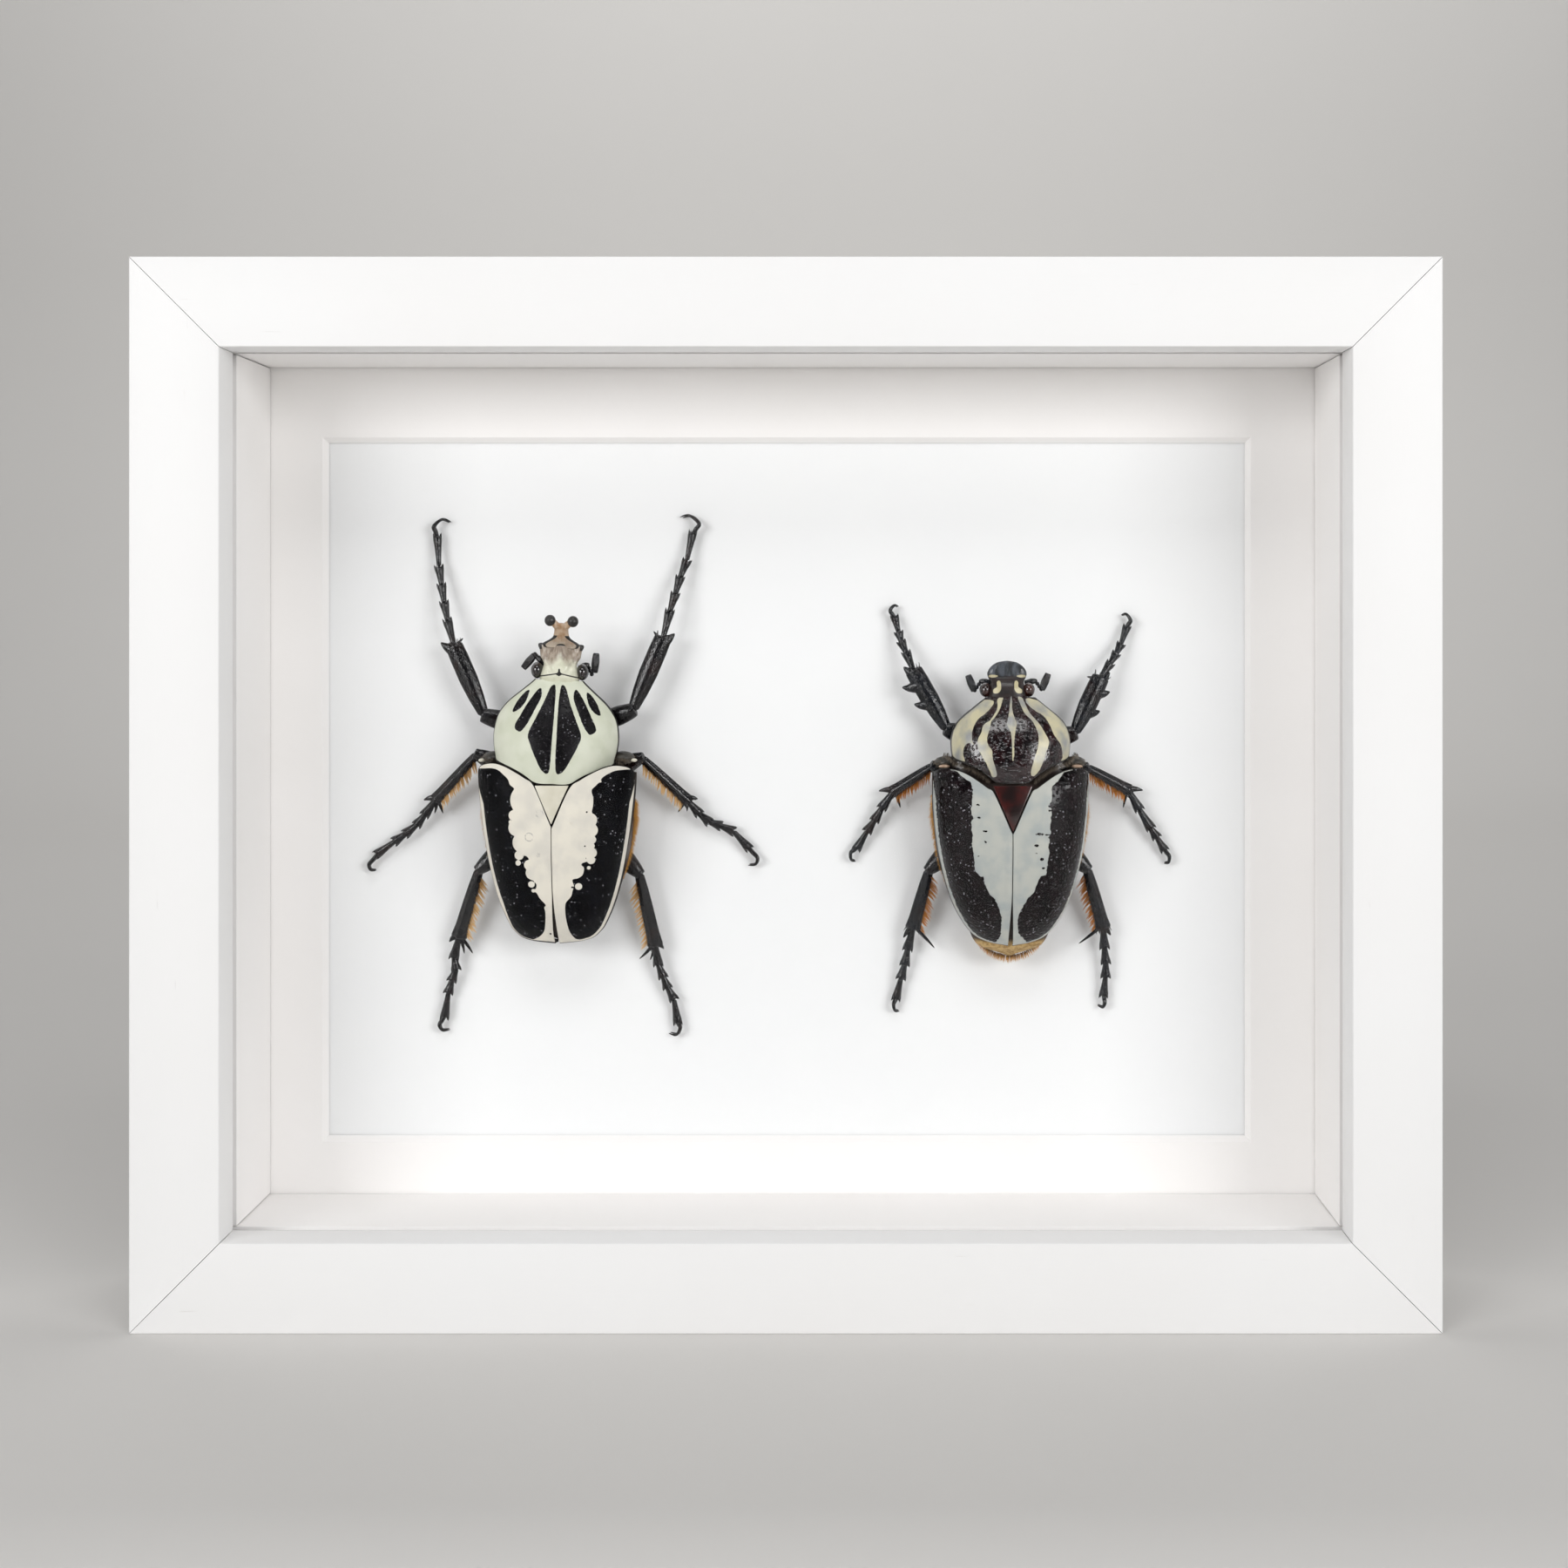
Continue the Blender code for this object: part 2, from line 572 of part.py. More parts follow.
def body_form(stations, square=2.4, belly_square=2.2, between=1, shift=0.0, sides=SIDES):
    """A body form lofted through its cross-sections and closed at both ends."""
    rings = [section(station, square, belly_square, sides) for station in smooth(stations, between)]
    bm = bmesh.new()
    loops = [[bm.verts.new(point) for point in ring] for ring in rings]
    for near, far in zip(loops, loops[1:]):
        for i in range(sides):
            j = (i + 1) % sides
            bm.faces.new((near[i], near[j], far[j], far[i]))
    bmesh.ops.triangulate(bm, faces=bm.faces, quad_method="FIXED")
    bm.faces.new(loops[0])
    bm.faces.new(loops[-1])
    bmesh.ops.translate(bm, vec=(shift * MM, 0.0, 0.0), verts=bm.verts)
    return helper_object(bm)


def shrunk(stations, wall, front):
    """The stations of the hollow under a shell: a wall in at the sides, back and tail, open at the front."""
    tail = stations[-1][0]
    length = stations[0][0] - tail
    stretch = (length + front - wall) / length
    rows = []
    for y, half_width, back, seam, _ in stations:
        inner_y = tail + wall + (y - tail) * stretch
        rows.append((inner_y, max(half_width - wall, 0.8), max(back - wall, seam + 0.4), seam, seam - 3.0))
    return tuple(rows)


def rail(length, turn, place):
    """One side of the frame: a stepped profile with mitred ends, the rebate behind its front lip."""
    inner = -FACE_WIDTH
    step = inner + REBATE
    lip = LIP_DEPTH - GAP
    profile = ((0.0, 0.0), (inner, 0.0), (inner, lip), (step, lip), (step, FRAME_DEPTH), (0.0, FRAME_DEPTH))
    # The profile's x becomes height and its y depth, so the rail runs along x as the top rail does.
    lie = Matrix(((0, 0, 1, 0), (0, 1, 0, 0), (1, 0, 0, 0), (0, 0, 0, 1)))
    obj = outline_solid(profile, length, lie)
    slack = GAP / 2 * math.sqrt(2)
    split_at(obj, Vector((-1.0, 0.0, 1.0)), Vector((length / 2 - slack, 0.0, 0.0)))
    split_at(obj, Vector((1.0, 0.0, 1.0)), Vector((-length / 2 + slack, 0.0, 0.0)))
    around = Matrix.Rotation(turn, 4, "Y")
    obj.data.transform(Matrix.Translation(place) @ around)
    return obj


def build_frame(paint):
    half_w = FRAME_WIDTH / 2
    half_h = FRAME_HEIGHT / 2
    sides = (
        ("top", FRAME_WIDTH, 0.0, (0.0, FRONT_Y, CENTRE_Z + half_h)),
        ("right", FRAME_HEIGHT, math.pi / 2, (half_w, FRONT_Y, CENTRE_Z)),
        ("bottom", FRAME_WIDTH, math.pi, (0.0, FRONT_Y, CENTRE_Z - half_h)),
        ("left", FRAME_HEIGHT, -math.pi / 2, (-half_w, FRONT_Y, CENTRE_Z)),
    )
    for name, length, turn, place in sides:
        make_part(rail(length, turn, place), f"frame_rail_{name}", paint)


def rebate_size():
    """Half width and half height of what lies in the rebate."""
    half_w = FRAME_WIDTH / 2 - FACE_WIDTH + REBATE - GAP
    half_h = FRAME_HEIGHT / 2 - FACE_WIDTH + REBATE - GAP
    return half_w, half_h


def sheet(y, thickness):
    """A flat sheet that fills the rebate."""
    half_w, half_h = rebate_size()
    return box((-half_w, y, CENTRE_Z - half_h), (half_w, y + thickness, CENTRE_Z + half_h))


def build_spacers(material):
    half_w, half_h = rebate_size()
    wall = REBATE - GAP
    back = SPACER_Y + SPACER_DEPTH
    for name, side in (("bottom", -1), ("top", 1)):
        low, high = sorted((CENTRE_Z + side * half_h, CENTRE_Z + side * (half_h - wall)))
        bar = box((-half_w, SPACER_Y, low), (half_w, back, high))
        make_part(bar, f"spacer_{name}", material)
    reach = half_h - wall - GAP
    for name, side in (("left", -1), ("right", 1)):
        low, high = sorted((side * half_w, side * (half_w - wall)))
        bar = box((low, SPACER_Y, CENTRE_Z - reach), (high, back, CENTRE_Z + reach))
        make_part(bar, f"spacer_{name}", material)


def build_mount(material):
    """The mount board: a sheet of card with a window cut in it at a slant."""
    board = sheet(MOUNT_Y, MOUNT_THICK)
    over = 1.0 * MM
    bm = bmesh.new()
    bmesh.ops.create_cube(bm, size=1.0)
    for vert in bm.verts:
        spread = over if vert.co.y > 0 else -(MOUNT_THICK + over)
        vert.co.x = math.copysign(WINDOW_WIDTH / 2 - spread, vert.co.x)
        vert.co.z = math.copysign(WINDOW_HEIGHT / 2 - spread, vert.co.z)
        vert.co.y = MOUNT_THICK + over if vert.co.y > 0 else -over
    shift = (WINDOW_SHIFT[0], MOUNT_Y, CENTRE_Z + WINDOW_SHIFT[1])
    bmesh.ops.translate(bm, vec=shift, verts=bm.verts)
    make_part(combine(board, [helper_object(bm)], "DIFFERENCE"), "mount_board", material)


def build_tabs(material):
    """The bent metal tabs that hold the back panel in, pushed into the rails."""
    half_w, half_h = rebate_size()
    width, reach, thick = TAB_SIZE
    spots = [(x, side) for x in (-0.22, 0.22) for side in (-1, 1)]
    for index, (share, side) in enumerate(spots):
        x = share * FRAME_WIDTH
        low, high = sorted((CENTRE_Z + side * half_h, CENTRE_Z + side * (half_h - reach)))
        tab = box((x - width / 2, TAB_Y, low), (x + width / 2, TAB_Y + thick, high))
        make_part(tab, f"back_tab_{index + 1}", material)
    for index, side in enumerate((-1, 1)):
        low, high = sorted((side * half_w, side * (half_w - reach)))
        tab = box((low, TAB_Y, CENTRE_Z - width / 2), (high, TAB_Y + thick, CENTRE_Z + width / 2))
        make_part(tab, f"back_tab_{index + 5}", material)


def build_case():
    build_frame(finish("white_painted_wood", (0.90, 0.90, 0.90), 0.55))
    glass = finish("clear_glass", (0.95, 0.97, 0.97), 0.03, 0.25)
    card = finish("white_card", (0.92, 0.91, 0.90), 0.85)
    make_part(sheet(GLASS_Y, GLASS_THICK), "glass_pane", glass)
    build_spacers(card)
    build_mount(card)
    make_part(sheet(CARD_Y, CARD_THICK), "backing_card", card)
    brown = finish("brown_fibreboard", (0.36, 0.22, 0.12), 0.75)
    make_part(sheet(PANEL_Y, PANEL_THICK), "back_panel", brown)
    build_tabs(finish("zinc_plated_steel", (0.60, 0.60, 0.58), 0.4))


def lean_front(obj):
    """Turns a piece of the male's head or front shield with the lean of his front body."""
    pivot = Matrix.Translation((0.0, 0.0, FRONT_PIVOT_HEIGHT * MM))
    roll = pivot @ Matrix.Rotation(FRONT_ROLL, 4, "Y") @ pivot.inverted()
    shift = Matrix.Translation((FRONT_SHIFT * MM, 0.0, 0.0))
    obj.data.transform(shift @ Matrix.Rotation(FRONT_YAW, 4, "Z") @ roll)
    return obj


def triangle_prism(front, half_width, tip, low, high):
    """An upright prism on the scutellum's triangle, in millimetres."""
    points = [(x * MM, y * MM) for x, y in ((-half_width, front), (half_width, front), (0.0, tip))]
    middle = Matrix.Translation((0.0, 0.0, (low + high) / 2 * MM))
    return outline_solid(points, (high - low) * MM, middle)


def side_plates(centre):
    """The two rounded plates at the body's shoulders, mirrored."""
    x, y, z = centre
    return [ball((side * x, y, z), SIDE_PLATE_RADII, segments=8, rings=6) for side in (-1, 1)]


def build_shell_plates(pronotum):
    """The wing covers and the triangular plate between them, cut from one dome."""
    dome = body_form(ELYTRA, square=2.6)
    plate = duplicate(dome)
    half_width = SCUTELLUM_HALF_WIDTH * 1.2
    prism = triangle_prism(SCUTELLUM_FRONT + 2.0, half_width, SCUTELLUM_TIP, SCUTELLUM_FLOOR, 30.0)
    combine(plate, [prism], "INTERSECT")
    hollow = body_form(shrunk(ELYTRA, SHELL_WALL, 4.0), square=2.6)
    notch = triangle_prism(
        SCUTELLUM_FRONT + 6.0, SCUTELLUM_HALF_WIDTH * 1.66, SCUTELLUM_TIP - 2.4 * SEAM, 14.0, 30.0
    )
    combine(dome, [hollow, notch], "DIFFERENCE")
    clear(dome, [pronotum])
    clear(plate, [pronotum])
    right = duplicate(dome)
    left = dome
    half_seam = Vector((GAP / 2, 0.0, 0.0))
    split_at(right, Vector((1.0, 0.0, 0.0)), half_seam)
    split_at(left, Vector((-1.0, 0.0, 0.0)), -half_seam)
    return left, right, plate


def build_femur(leg, kind):
    """The thigh: thickest in its inner half, from its socket in the body to the knee."""
    root = Vector(leg.root)
    knee = Vector(leg.knee)
    points = [root.lerp(knee, share) for share in (0.0, 0.35, 0.75, 1.0)]
    points.append(knee + (knee - root).normalized() * 0.9)
    radii = kind.femur + (kind.femur[-1] * 0.5,)
    return tube(points, radii, flat=0.75)


def inner_side(leg):
    """The unit vector across the shin, level with the card, towards the body."""
    along = Vector(leg.ankle) - Vector(leg.knee)
    across = Vector((-along.y, along.x, 0.0)).normalized()
    return across if across.x * leg.knee[0] < 0 else -across


def build_tibia(leg, kind, fringe_seed=None, locks=9):
    """The shin: it widens to the ankle, with outer teeth, spurs and, where it has one, a fringe."""
    knee = Vector(leg.knee)
    ankle = Vector(leg.ankle)
    along = (ankle - knee).normalized()
    shares = (0.0, 0.25, 0.5, 0.8, 1.0)
    points = [knee.lerp(ankle, share) for share in shares]
    pieces = [tube(points, kind.tibia, flat=0.62)]
    for tip in leg.teeth:
        tip = Vector(tip)
        behind = min((tip - ankle).dot(along), 0.0) - TOOTH_LEAN
        pieces.append(spine((ankle + along * behind).lerp(tip, 0.15), tip, 0.8))
    for tip in leg.spurs:
        tip = Vector(tip)
        pieces.append(spine(tip.lerp(ankle - along * 1.2, 0.9), tip, 0.55))
    if fringe_seed is not None:
        pieces += fringe(leg, kind, fringe_seed, locks)
    return fuse(pieces)


def fringe(leg, kind, seed, count):
    """Flat tapered locks of hair along the inner edge of the shin, longest near the knee."""
    draw = random.Random(seed)
    knee = Vector(leg.knee)
    ankle = Vector(leg.ankle)
    along = (ankle - knee).normalized()
    inner = inner_side(leg)
    locks = []
    for index in range(count):
        share = 0.16 + 0.68 * index / (count - 1)
        edge = knee.lerp(ankle, share) + inner * (kind.tibia[2] - 0.8)
        length = kind.fringe * (1.25 - 0.4 * share) * draw.uniform(0.85, 1.15) + 0.8
        lie = (inner + along * draw.uniform(0.35, 0.6)).normalized()
        tip = edge + lie * length
        middle = edge.lerp(tip, 0.55) - along * 0.15
        locks.append(tube((edge, middle, tip), (0.62, 0.55, 0.12), flat=0.6, rounding=0))
    return locks


def build_foot(leg, kind, fine=True):
    """The foot: club-shaped pieces, each narrow at its root and flared at its tip, and two hooked claws."""
    ankle = Vector(leg.ankle)
    along = (ankle - Vector(leg.knee)).normalized()
    width = kind.foot
    points = [ankle - along * FOOT_SINK]
    radii = [0.5 * width]
    previous = ankle
    for joint in leg.joints:
        joint = Vector(joint)
        if fine:
            points += [previous.lerp(joint, 0.12), previous.lerp(joint, 0.82), joint]
            radii += [0.55 * width, 1.05 * width, 0.7 * width]
        else:
            points += [previous.lerp(joint, 0.75), joint]
            radii += [1.0 * width, 0.65 * width]
        previous = joint
    rounding = 1 if fine else 0
    pieces = [tube(points, radii, flat=0.85, rounding=rounding)]
    out, top, tip = [Vector(point) for point in leg.claw]
    heel = previous - (previous - Vector(leg.joints[-2])).normalized() * 0.7
    for side in (-1, 1):
        spread = Vector((0.0, 0.0, 0.45 * side))
        path = (heel, out + spread * 0.8, top + spread, tip + spread * 0.6)
        pieces.append(tube(path, (0.5, 0.42, 0.3, 0.12), rounding=rounding))
    return fuse(pieces)


def build_head():
    """The head with its horn, eyes, mouthparts and feelers, each a piece of its own."""
    head = body_form(HEAD, square=2.8, belly_square=2.4)
    eyes = []
    for side in (-1, 1):
        eyes.append(ball((side * EYE[0], EYE[1], EYE[2]), EYE_RADII))
    clear(head, eyes)
    stem = body_form(HORN_STEM, square=2.2, belly_square=2.2, between=0)
    pieces = [stem]
    for side in (-1, 1):
        root = (side * FORK_ROOT[0], FORK_ROOT[1], FORK_ROOT[2])
        knob = (side * KNOB[0], KNOB[1], KNOB[2])
        pieces.append(tube((root, knob), (1.1, 0.85)))
        pieces.append(ball(knob, (KNOB_RADIUS,) * 3))
    horn = clear(fuse(pieces), [head])
    mouth = [ball(CHIN, CHIN_RADII)]
    for side in (-1, 1):
        mouth.append(ball((side * MAXILLA[0], MAXILLA[1], MAXILLA[2]), MAXILLA_RADII))
    mouth = clear(fuse(mouth), [head])
    feelers = []
    for path, radii in ((FEELER_LEFT, FEELER_RADII), (FEELER_RIGHT, FEELER_RADII_RIGHT)):
        feelers.append(clear(tube(path, radii, rounding=1), [head, *eyes, mouth]))
    return head, horn, mouth, eyes, feelers


def build_male(root):
    horn_brown = finish("horn_ivory_brown", (0.52, 0.38, 0.27), 0.45)
    ivory = finish("ivory_chitin", (0.68, 0.72, 0.56), 0.45)
    cover = finish("wing_cover_chitin", (0.70, 0.68, 0.62), 0.4)
    black = finish("black_chitin", (0.012, 0.010, 0.014), 0.25)
    brown = finish("brown_hairy_chitin", (0.10, 0.05, 0.03), 0.6)
    pronotum = lean_front(body_form(PRONOTUM, square=2.15, belly_square=3.0))
    head, horn, mouth, eyes, feelers = build_head()
    for piece in (head, horn, mouth, *eyes, *feelers):
        lean_front(piece)
    clear(head, [pronotum])
    left_cover, right_cover, plate = build_shell_plates(pronotum)
    breast = lean_front(body_form(PROSTERNUM))
    clear(breast, [pronotum, head, mouth])
    filling = body_form(shrunk(ELYTRA, SHELL_WALL + SHELL_CLEARANCE, -1.6), square=2.6, between=0)
    body = fuse([body_form(UNDERBODY, between=0), filling, *side_plates(SIDE_PLATE)])
    clear(body, [left_cover, right_cover, plate, pronotum, breast])
    abdomen = duplicate(body)
    thorax = body
    split_at(thorax, Vector((0.0, 1.0, 0.0)), Vector((0.0, (WAIST_CUT + 0.15) * MM, 0.0)))
    split_at(abdomen, Vector((0.0, -1.0, 0.0)), Vector((0.0, (WAIST_CUT - 0.15) * MM, 0.0)))
    limbs = build_male_legs()
    carriers = {"fore": [breast], "mid": [thorax], "hind": [thorax, abdomen]}
    for name, (femur, tibia, foot) in limbs.items():
        for carrier in carriers[name.split("_")[0]]:
            clear(carrier, [femur])
        make_part(femur, f"femur_{name}", black, root)
        make_part(tibia, f"tibia_{name}", black, root)
        make_part(foot, f"foot_{name}", black, root)
    make_part(pronotum, "pronotum", ivory, root)
    make_part(left_cover, "wing_cover_left", cover, root)
    make_part(right_cover, "wing_cover_right", cover, root)
    make_part(plate, "scutellum", ivory, root)
    make_part(breast, "breast_front", brown, root)
    make_part(thorax, "thorax", brown, root)
    make_part(abdomen, "abdomen", brown, root)
    make_part(head, "head", ivory, root)
    make_part(horn, "horn", horn_brown, root)
    make_part(mouth, "mouthparts", black, root)
    for name, eye, feeler in zip(("left", "right"), eyes, feelers):
        make_part(eye, f"eye_{name}", black, root)
        make_part(feeler, f"feeler_{name}", black, root)


def build_male_legs():
    """Each leg as thigh, shin and foot, cut a thin gap clear of one another."""
    limbs = {}
    for seed, (name, (kind, leg)) in enumerate(MALE_LEGS.items()):
        femur = build_femur(leg, kind)
        tibia = build_tibia(leg, kind, seed if kind.fringe else None)
        clear(tibia, [femur])
        foot = clear(build_foot(leg, kind), [tibia])
        limbs[name] = (femur, tibia, foot)
    return limbs


def build_female(root):
    """The second beetle, fused into one solid."""
    dark = finish("dark_maroon_chitin", (0.03, 0.012, 0.018), 0.25)
    pieces = [
        body_form(FEMALE_ELYTRA, square=2.5, between=0, sides=FEMALE_SIDES),
        body_form(FEMALE_PRONOTUM, square=2.15, between=0, sides=FEMALE_SIDES),
        body_form(FEMALE_UNDERBODY, between=0, sides=FEMALE_SIDES),
        body_form(FEMALE_HEAD, square=2.6, between=0, shift=FEMALE_HEAD_SHIFT, sides=FEMALE_SIDES),
        *side_plates(FEMALE_SIDE_PLATE),
    ]
    for side, path in ((-1, FEMALE_FEELER_LEFT), (1, FEMALE_FEELER_RIGHT)):
        eye = (FEMALE_HEAD_SHIFT + side * FEMALE_EYE[0], FEMALE_EYE[1], FEMALE_EYE[2])
        pieces.append(ball(eye, EYE_RADII, segments=8, rings=6))
        pieces.append(tube(path, (0.6, 0.5, 0.6, 0.6), rounding=0))
    for seed, (kind, leg) in enumerate(FEMALE_LEGS.values()):
        pieces.append(build_femur(leg, kind))
        pieces.append(build_tibia(leg, kind, seed if kind.fringe else None, locks=7))
        pieces.append(build_foot(leg, kind, fine=False))
    make_part(fuse(pieces), "female_beetle", dark, root)


def beetle_root(name, place):
    """An empty that stands a beetle's own frame up against the card, head up and back to the front."""
    root = bpy.data.objects.new(name, None)
    root.location = (place[0], CARD_Y, place[1])
    root.rotation_euler = (math.pi / 2, 0.0, 0.0)
    bpy.data.collections["boxed_goliath_beetles"].objects.link(root)
    return root


def main():
    start_scene()
    build_case()
    build_male(beetle_root("male_on_card", MALE_PLACE))
    build_female(beetle_root("female_on_card", FEMALE_PLACE))


main()
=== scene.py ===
# %% [markdown]
# # A boxed pair of goliath beetles
# A horned male and his mate are glued head up on white card, behind the glass of a deep white frame.
# The solids of the case and of both beetles come in as a fixed frame. This lesson dresses them: the case
# keeps its solids and gets finishes, and the beetles are modelled again, finer, over theirs.

# %% Load the fixed frame
import math
import random
from collections import namedtuple

import bmesh
import bpy
import numpy as np
from mathutils import Matrix, Vector


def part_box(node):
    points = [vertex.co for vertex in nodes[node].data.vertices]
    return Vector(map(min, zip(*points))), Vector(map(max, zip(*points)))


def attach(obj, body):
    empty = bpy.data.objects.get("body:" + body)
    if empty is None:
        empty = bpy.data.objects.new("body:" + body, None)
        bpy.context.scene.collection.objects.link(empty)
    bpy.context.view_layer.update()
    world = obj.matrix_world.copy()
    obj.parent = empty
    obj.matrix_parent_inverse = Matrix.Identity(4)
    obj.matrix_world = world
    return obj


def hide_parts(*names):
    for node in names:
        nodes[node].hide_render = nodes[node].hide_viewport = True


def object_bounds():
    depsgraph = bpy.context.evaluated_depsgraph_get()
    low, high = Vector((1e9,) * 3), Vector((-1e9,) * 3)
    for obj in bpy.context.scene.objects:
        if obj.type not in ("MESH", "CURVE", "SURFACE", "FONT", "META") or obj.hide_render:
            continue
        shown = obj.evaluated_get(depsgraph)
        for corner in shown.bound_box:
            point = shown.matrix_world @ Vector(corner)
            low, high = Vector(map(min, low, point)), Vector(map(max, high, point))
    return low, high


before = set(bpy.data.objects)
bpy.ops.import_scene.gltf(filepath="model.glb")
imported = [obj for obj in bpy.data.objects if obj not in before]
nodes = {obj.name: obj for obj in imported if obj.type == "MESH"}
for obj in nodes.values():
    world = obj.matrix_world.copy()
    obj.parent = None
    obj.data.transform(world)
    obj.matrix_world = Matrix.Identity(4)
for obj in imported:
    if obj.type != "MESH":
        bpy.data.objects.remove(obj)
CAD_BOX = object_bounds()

print("solids in the frame:", len(nodes))

# %% [markdown]
# ## Sizes
# The case is measured off its solids. A beetle is easier to think about lying on its belly, in
# millimetres: x to its right, y towards its head, z off the card. Each is modelled so, and one matrix
# then stands it up against the card. The places are where the waists lie on the card.

# %% Where the beetles lie
MM = 0.001
CARD_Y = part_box("backing_card")[0].y
FRAME_LOW, FRAME_HIGH = CAD_BOX[0], CAD_BOX[1]
MALE_PLACE = (-61.4 * MM, 133.2 * MM)
FEMALE_PLACE = (57.7 * MM, 133.9 * MM)


def card_matrix(place):
    """Takes a lying beetle's millimetres to its place on the upright card, in metres."""
    stand = Matrix.Rotation(math.pi / 2, 4, "X")
    return Matrix.Translation((place[0], CARD_Y, place[1])) @ stand @ Matrix.Scale(MM, 4)


MALE_CARD = card_matrix(MALE_PLACE)
FEMALE_CARD = card_matrix(FEMALE_PLACE)
print("card face at y =", round(CARD_Y / MM, 2), "mm")

# %% [markdown]
# ## Starting and finishing a piece
# Every operator acts on what is selected, so a piece starts with nothing selected. Once shaped, it gets
# its place in its own mesh, smooth shading, its finish and the body that it rides on. A shell is a sheet
# that gets its wall inwards, and the wall's rim is rounded a little, as no real edge is a knife's.

# %% Helpers for a piece
def deselect():
    bpy.ops.object.select_all(action="DESELECT")


def only(piece):
    deselect()
    piece.select_set(True)
    bpy.context.view_layer.objects.active = piece


def edit(piece, select="SELECT"):
    only(piece)
    bpy.ops.object.mode_set(mode="EDIT")
    bpy.ops.mesh.select_mode(type="FACE")
    bpy.ops.mesh.select_all(action=select)


def leave():
    bpy.ops.object.mode_set(mode="OBJECT")


def pick_faces(piece, wanted):
    """Selects, in edit mode, the faces for which wanted(centre, normal) holds."""
    cage = bmesh.from_edit_mesh(piece.data)
    for face in cage.faces:
        face.select_set(wanted(face.calc_center_median(), face.normal))
    bmesh.update_edit_mesh(piece.data)


def apply_modifier(piece, kind, **settings):
    only(piece)
    modifier = piece.modifiers.new(kind.lower(), kind)
    for name, value in settings.items():
        setattr(modifier, name, value)
    bpy.ops.object.modifier_apply(modifier=modifier.name)


SHARP = math.radians(50)


def thicken(piece, wall=0.8, round_edge=0.15, segments=2):
    """Gives a shell its wall, inwards, and rounds the wall's rim."""
    apply_modifier(piece, "SOLIDIFY", thickness=wall, offset=-1.0)
    apply_modifier(piece, "BEVEL", width=round_edge, segments=segments, limit_method="ANGLE",
                   angle_limit=SHARP)


def join(pieces, name):
    """Several meshes as one piece."""
    deselect()
    for piece in pieces:
        piece.select_set(True)
    bpy.context.view_layer.objects.active = pieces[0]
    bpy.ops.object.join()
    pieces[0].name = name
    return pieces[0]


def keep(piece, name, material, replaced=(), card=None, smooth=35):
    """Names a finished piece, stands it on the card, and gives it its finish and its body."""
    if card is not None:
        piece.data.transform(card)
    only(piece)
    bpy.ops.object.transform_apply()
    piece.name = name
    piece.data.name = name
    if smooth:
        bpy.ops.object.shade_smooth_by_angle(angle=math.radians(smooth))
    piece.data.materials.clear()
    piece.data.materials.append(material)
    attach(piece, "root")
    if replaced:
        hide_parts(*replaced)
    return piece


# %% [markdown]
# ## Rolling a grid into a form
# Shells, heads, thighs and claws are all one idea: a flat grid that is rolled up. The grid primitive has
# its own u across and v along, and a function says where each of its points goes. Where it closes on
# itself its doubles are merged, and where an end shrinks to a point that makes a neat pole. An open
# sheet, such as a wing cover, then gets its thickness from Solidify.

# %% The rolled grid
def rolled_grid(across, along, form, sheet=False):
    """A grid whose points go to form(u, v). A sheet stays open and faces up, a form closes."""
    deselect()
    bpy.ops.mesh.primitive_grid_add(x_subdivisions=across, y_subdivisions=along, size=1.0)
    piece = bpy.context.object
    for vert in piece.data.vertices:
        vert.co = form(vert.co.x + 0.5, vert.co.y + 0.5)
    edit(piece)
    bpy.ops.mesh.remove_doubles(threshold=1e-4)
    bpy.ops.mesh.normals_make_consistent(inside=False)
    leave()
    if sheet and sum(face.normal.z * face.area for face in piece.data.polygons) < 0:
        edit(piece)
        bpy.ops.mesh.flip_normals()
        leave()
    return piece


def at(table, y):
    """The row of a table of stations at y, on a smooth curve through its rows."""
    rows = sorted(table)
    y = min(max(y, rows[0][0]), rows[-1][0])
    index = 0
    while index < len(rows) - 2 and rows[index + 1][0] < y:
        index += 1
    low, high = rows[index], rows[index + 1]
    before = rows[max(index - 1, 0)]
    after = rows[min(index + 2, len(rows) - 1)]
    span = high[0] - low[0]
    t = (y - low[0]) / span
    values = []
    for a, b, c, d in zip(before[1:], low[1:], high[1:], after[1:]):
        start = (c - a) / (high[0] - before[0]) * span
        end = (d - b) / (after[0] - low[0]) * span
        curve = (2 * t**3 - 3 * t**2 + 1) * b + (t**3 - 2 * t**2 + t) * start
        values.append(curve + (3 * t**2 - 2 * t**3) * c + (t**3 - t**2) * end)
    return values


def arc(turn, square):
    """A point on a unit curve between a circle (2) and a square (large)."""
    across = math.cos(turn)
    rise = math.sin(turn)
    power = 2 / square
    return math.copysign(abs(across) ** power, across), math.copysign(abs(rise) ** power, rise)


def even_turns(square, flat, low, high, count):
    """Turns from low to high that are evenly spaced along such a curve, flat times as wide as high."""
    fine = np.linspace(low, high, 600)
    points = np.array([arc(turn, square) for turn in fine]) * (flat, 1.0)
    steps = np.hypot(*np.diff(points, axis=0).T)
    length = np.concatenate([[0.0], np.cumsum(steps)])
    return np.interp(np.linspace(0, length[-1], count), length, fine)


def bump_at(x, y, centre, radius, height):
    """A low round swelling."""
    return height * math.exp(-((x - centre[0]) ** 2 + (y - centre[1]) ** 2) / radius**2)


def ease(value, low, high):
    """0 below low, 1 above high, and a smooth rise between."""
    share = min(max((value - low) / (high - low), 0.0), 1.0)
    return share * share * (3 - 2 * share)


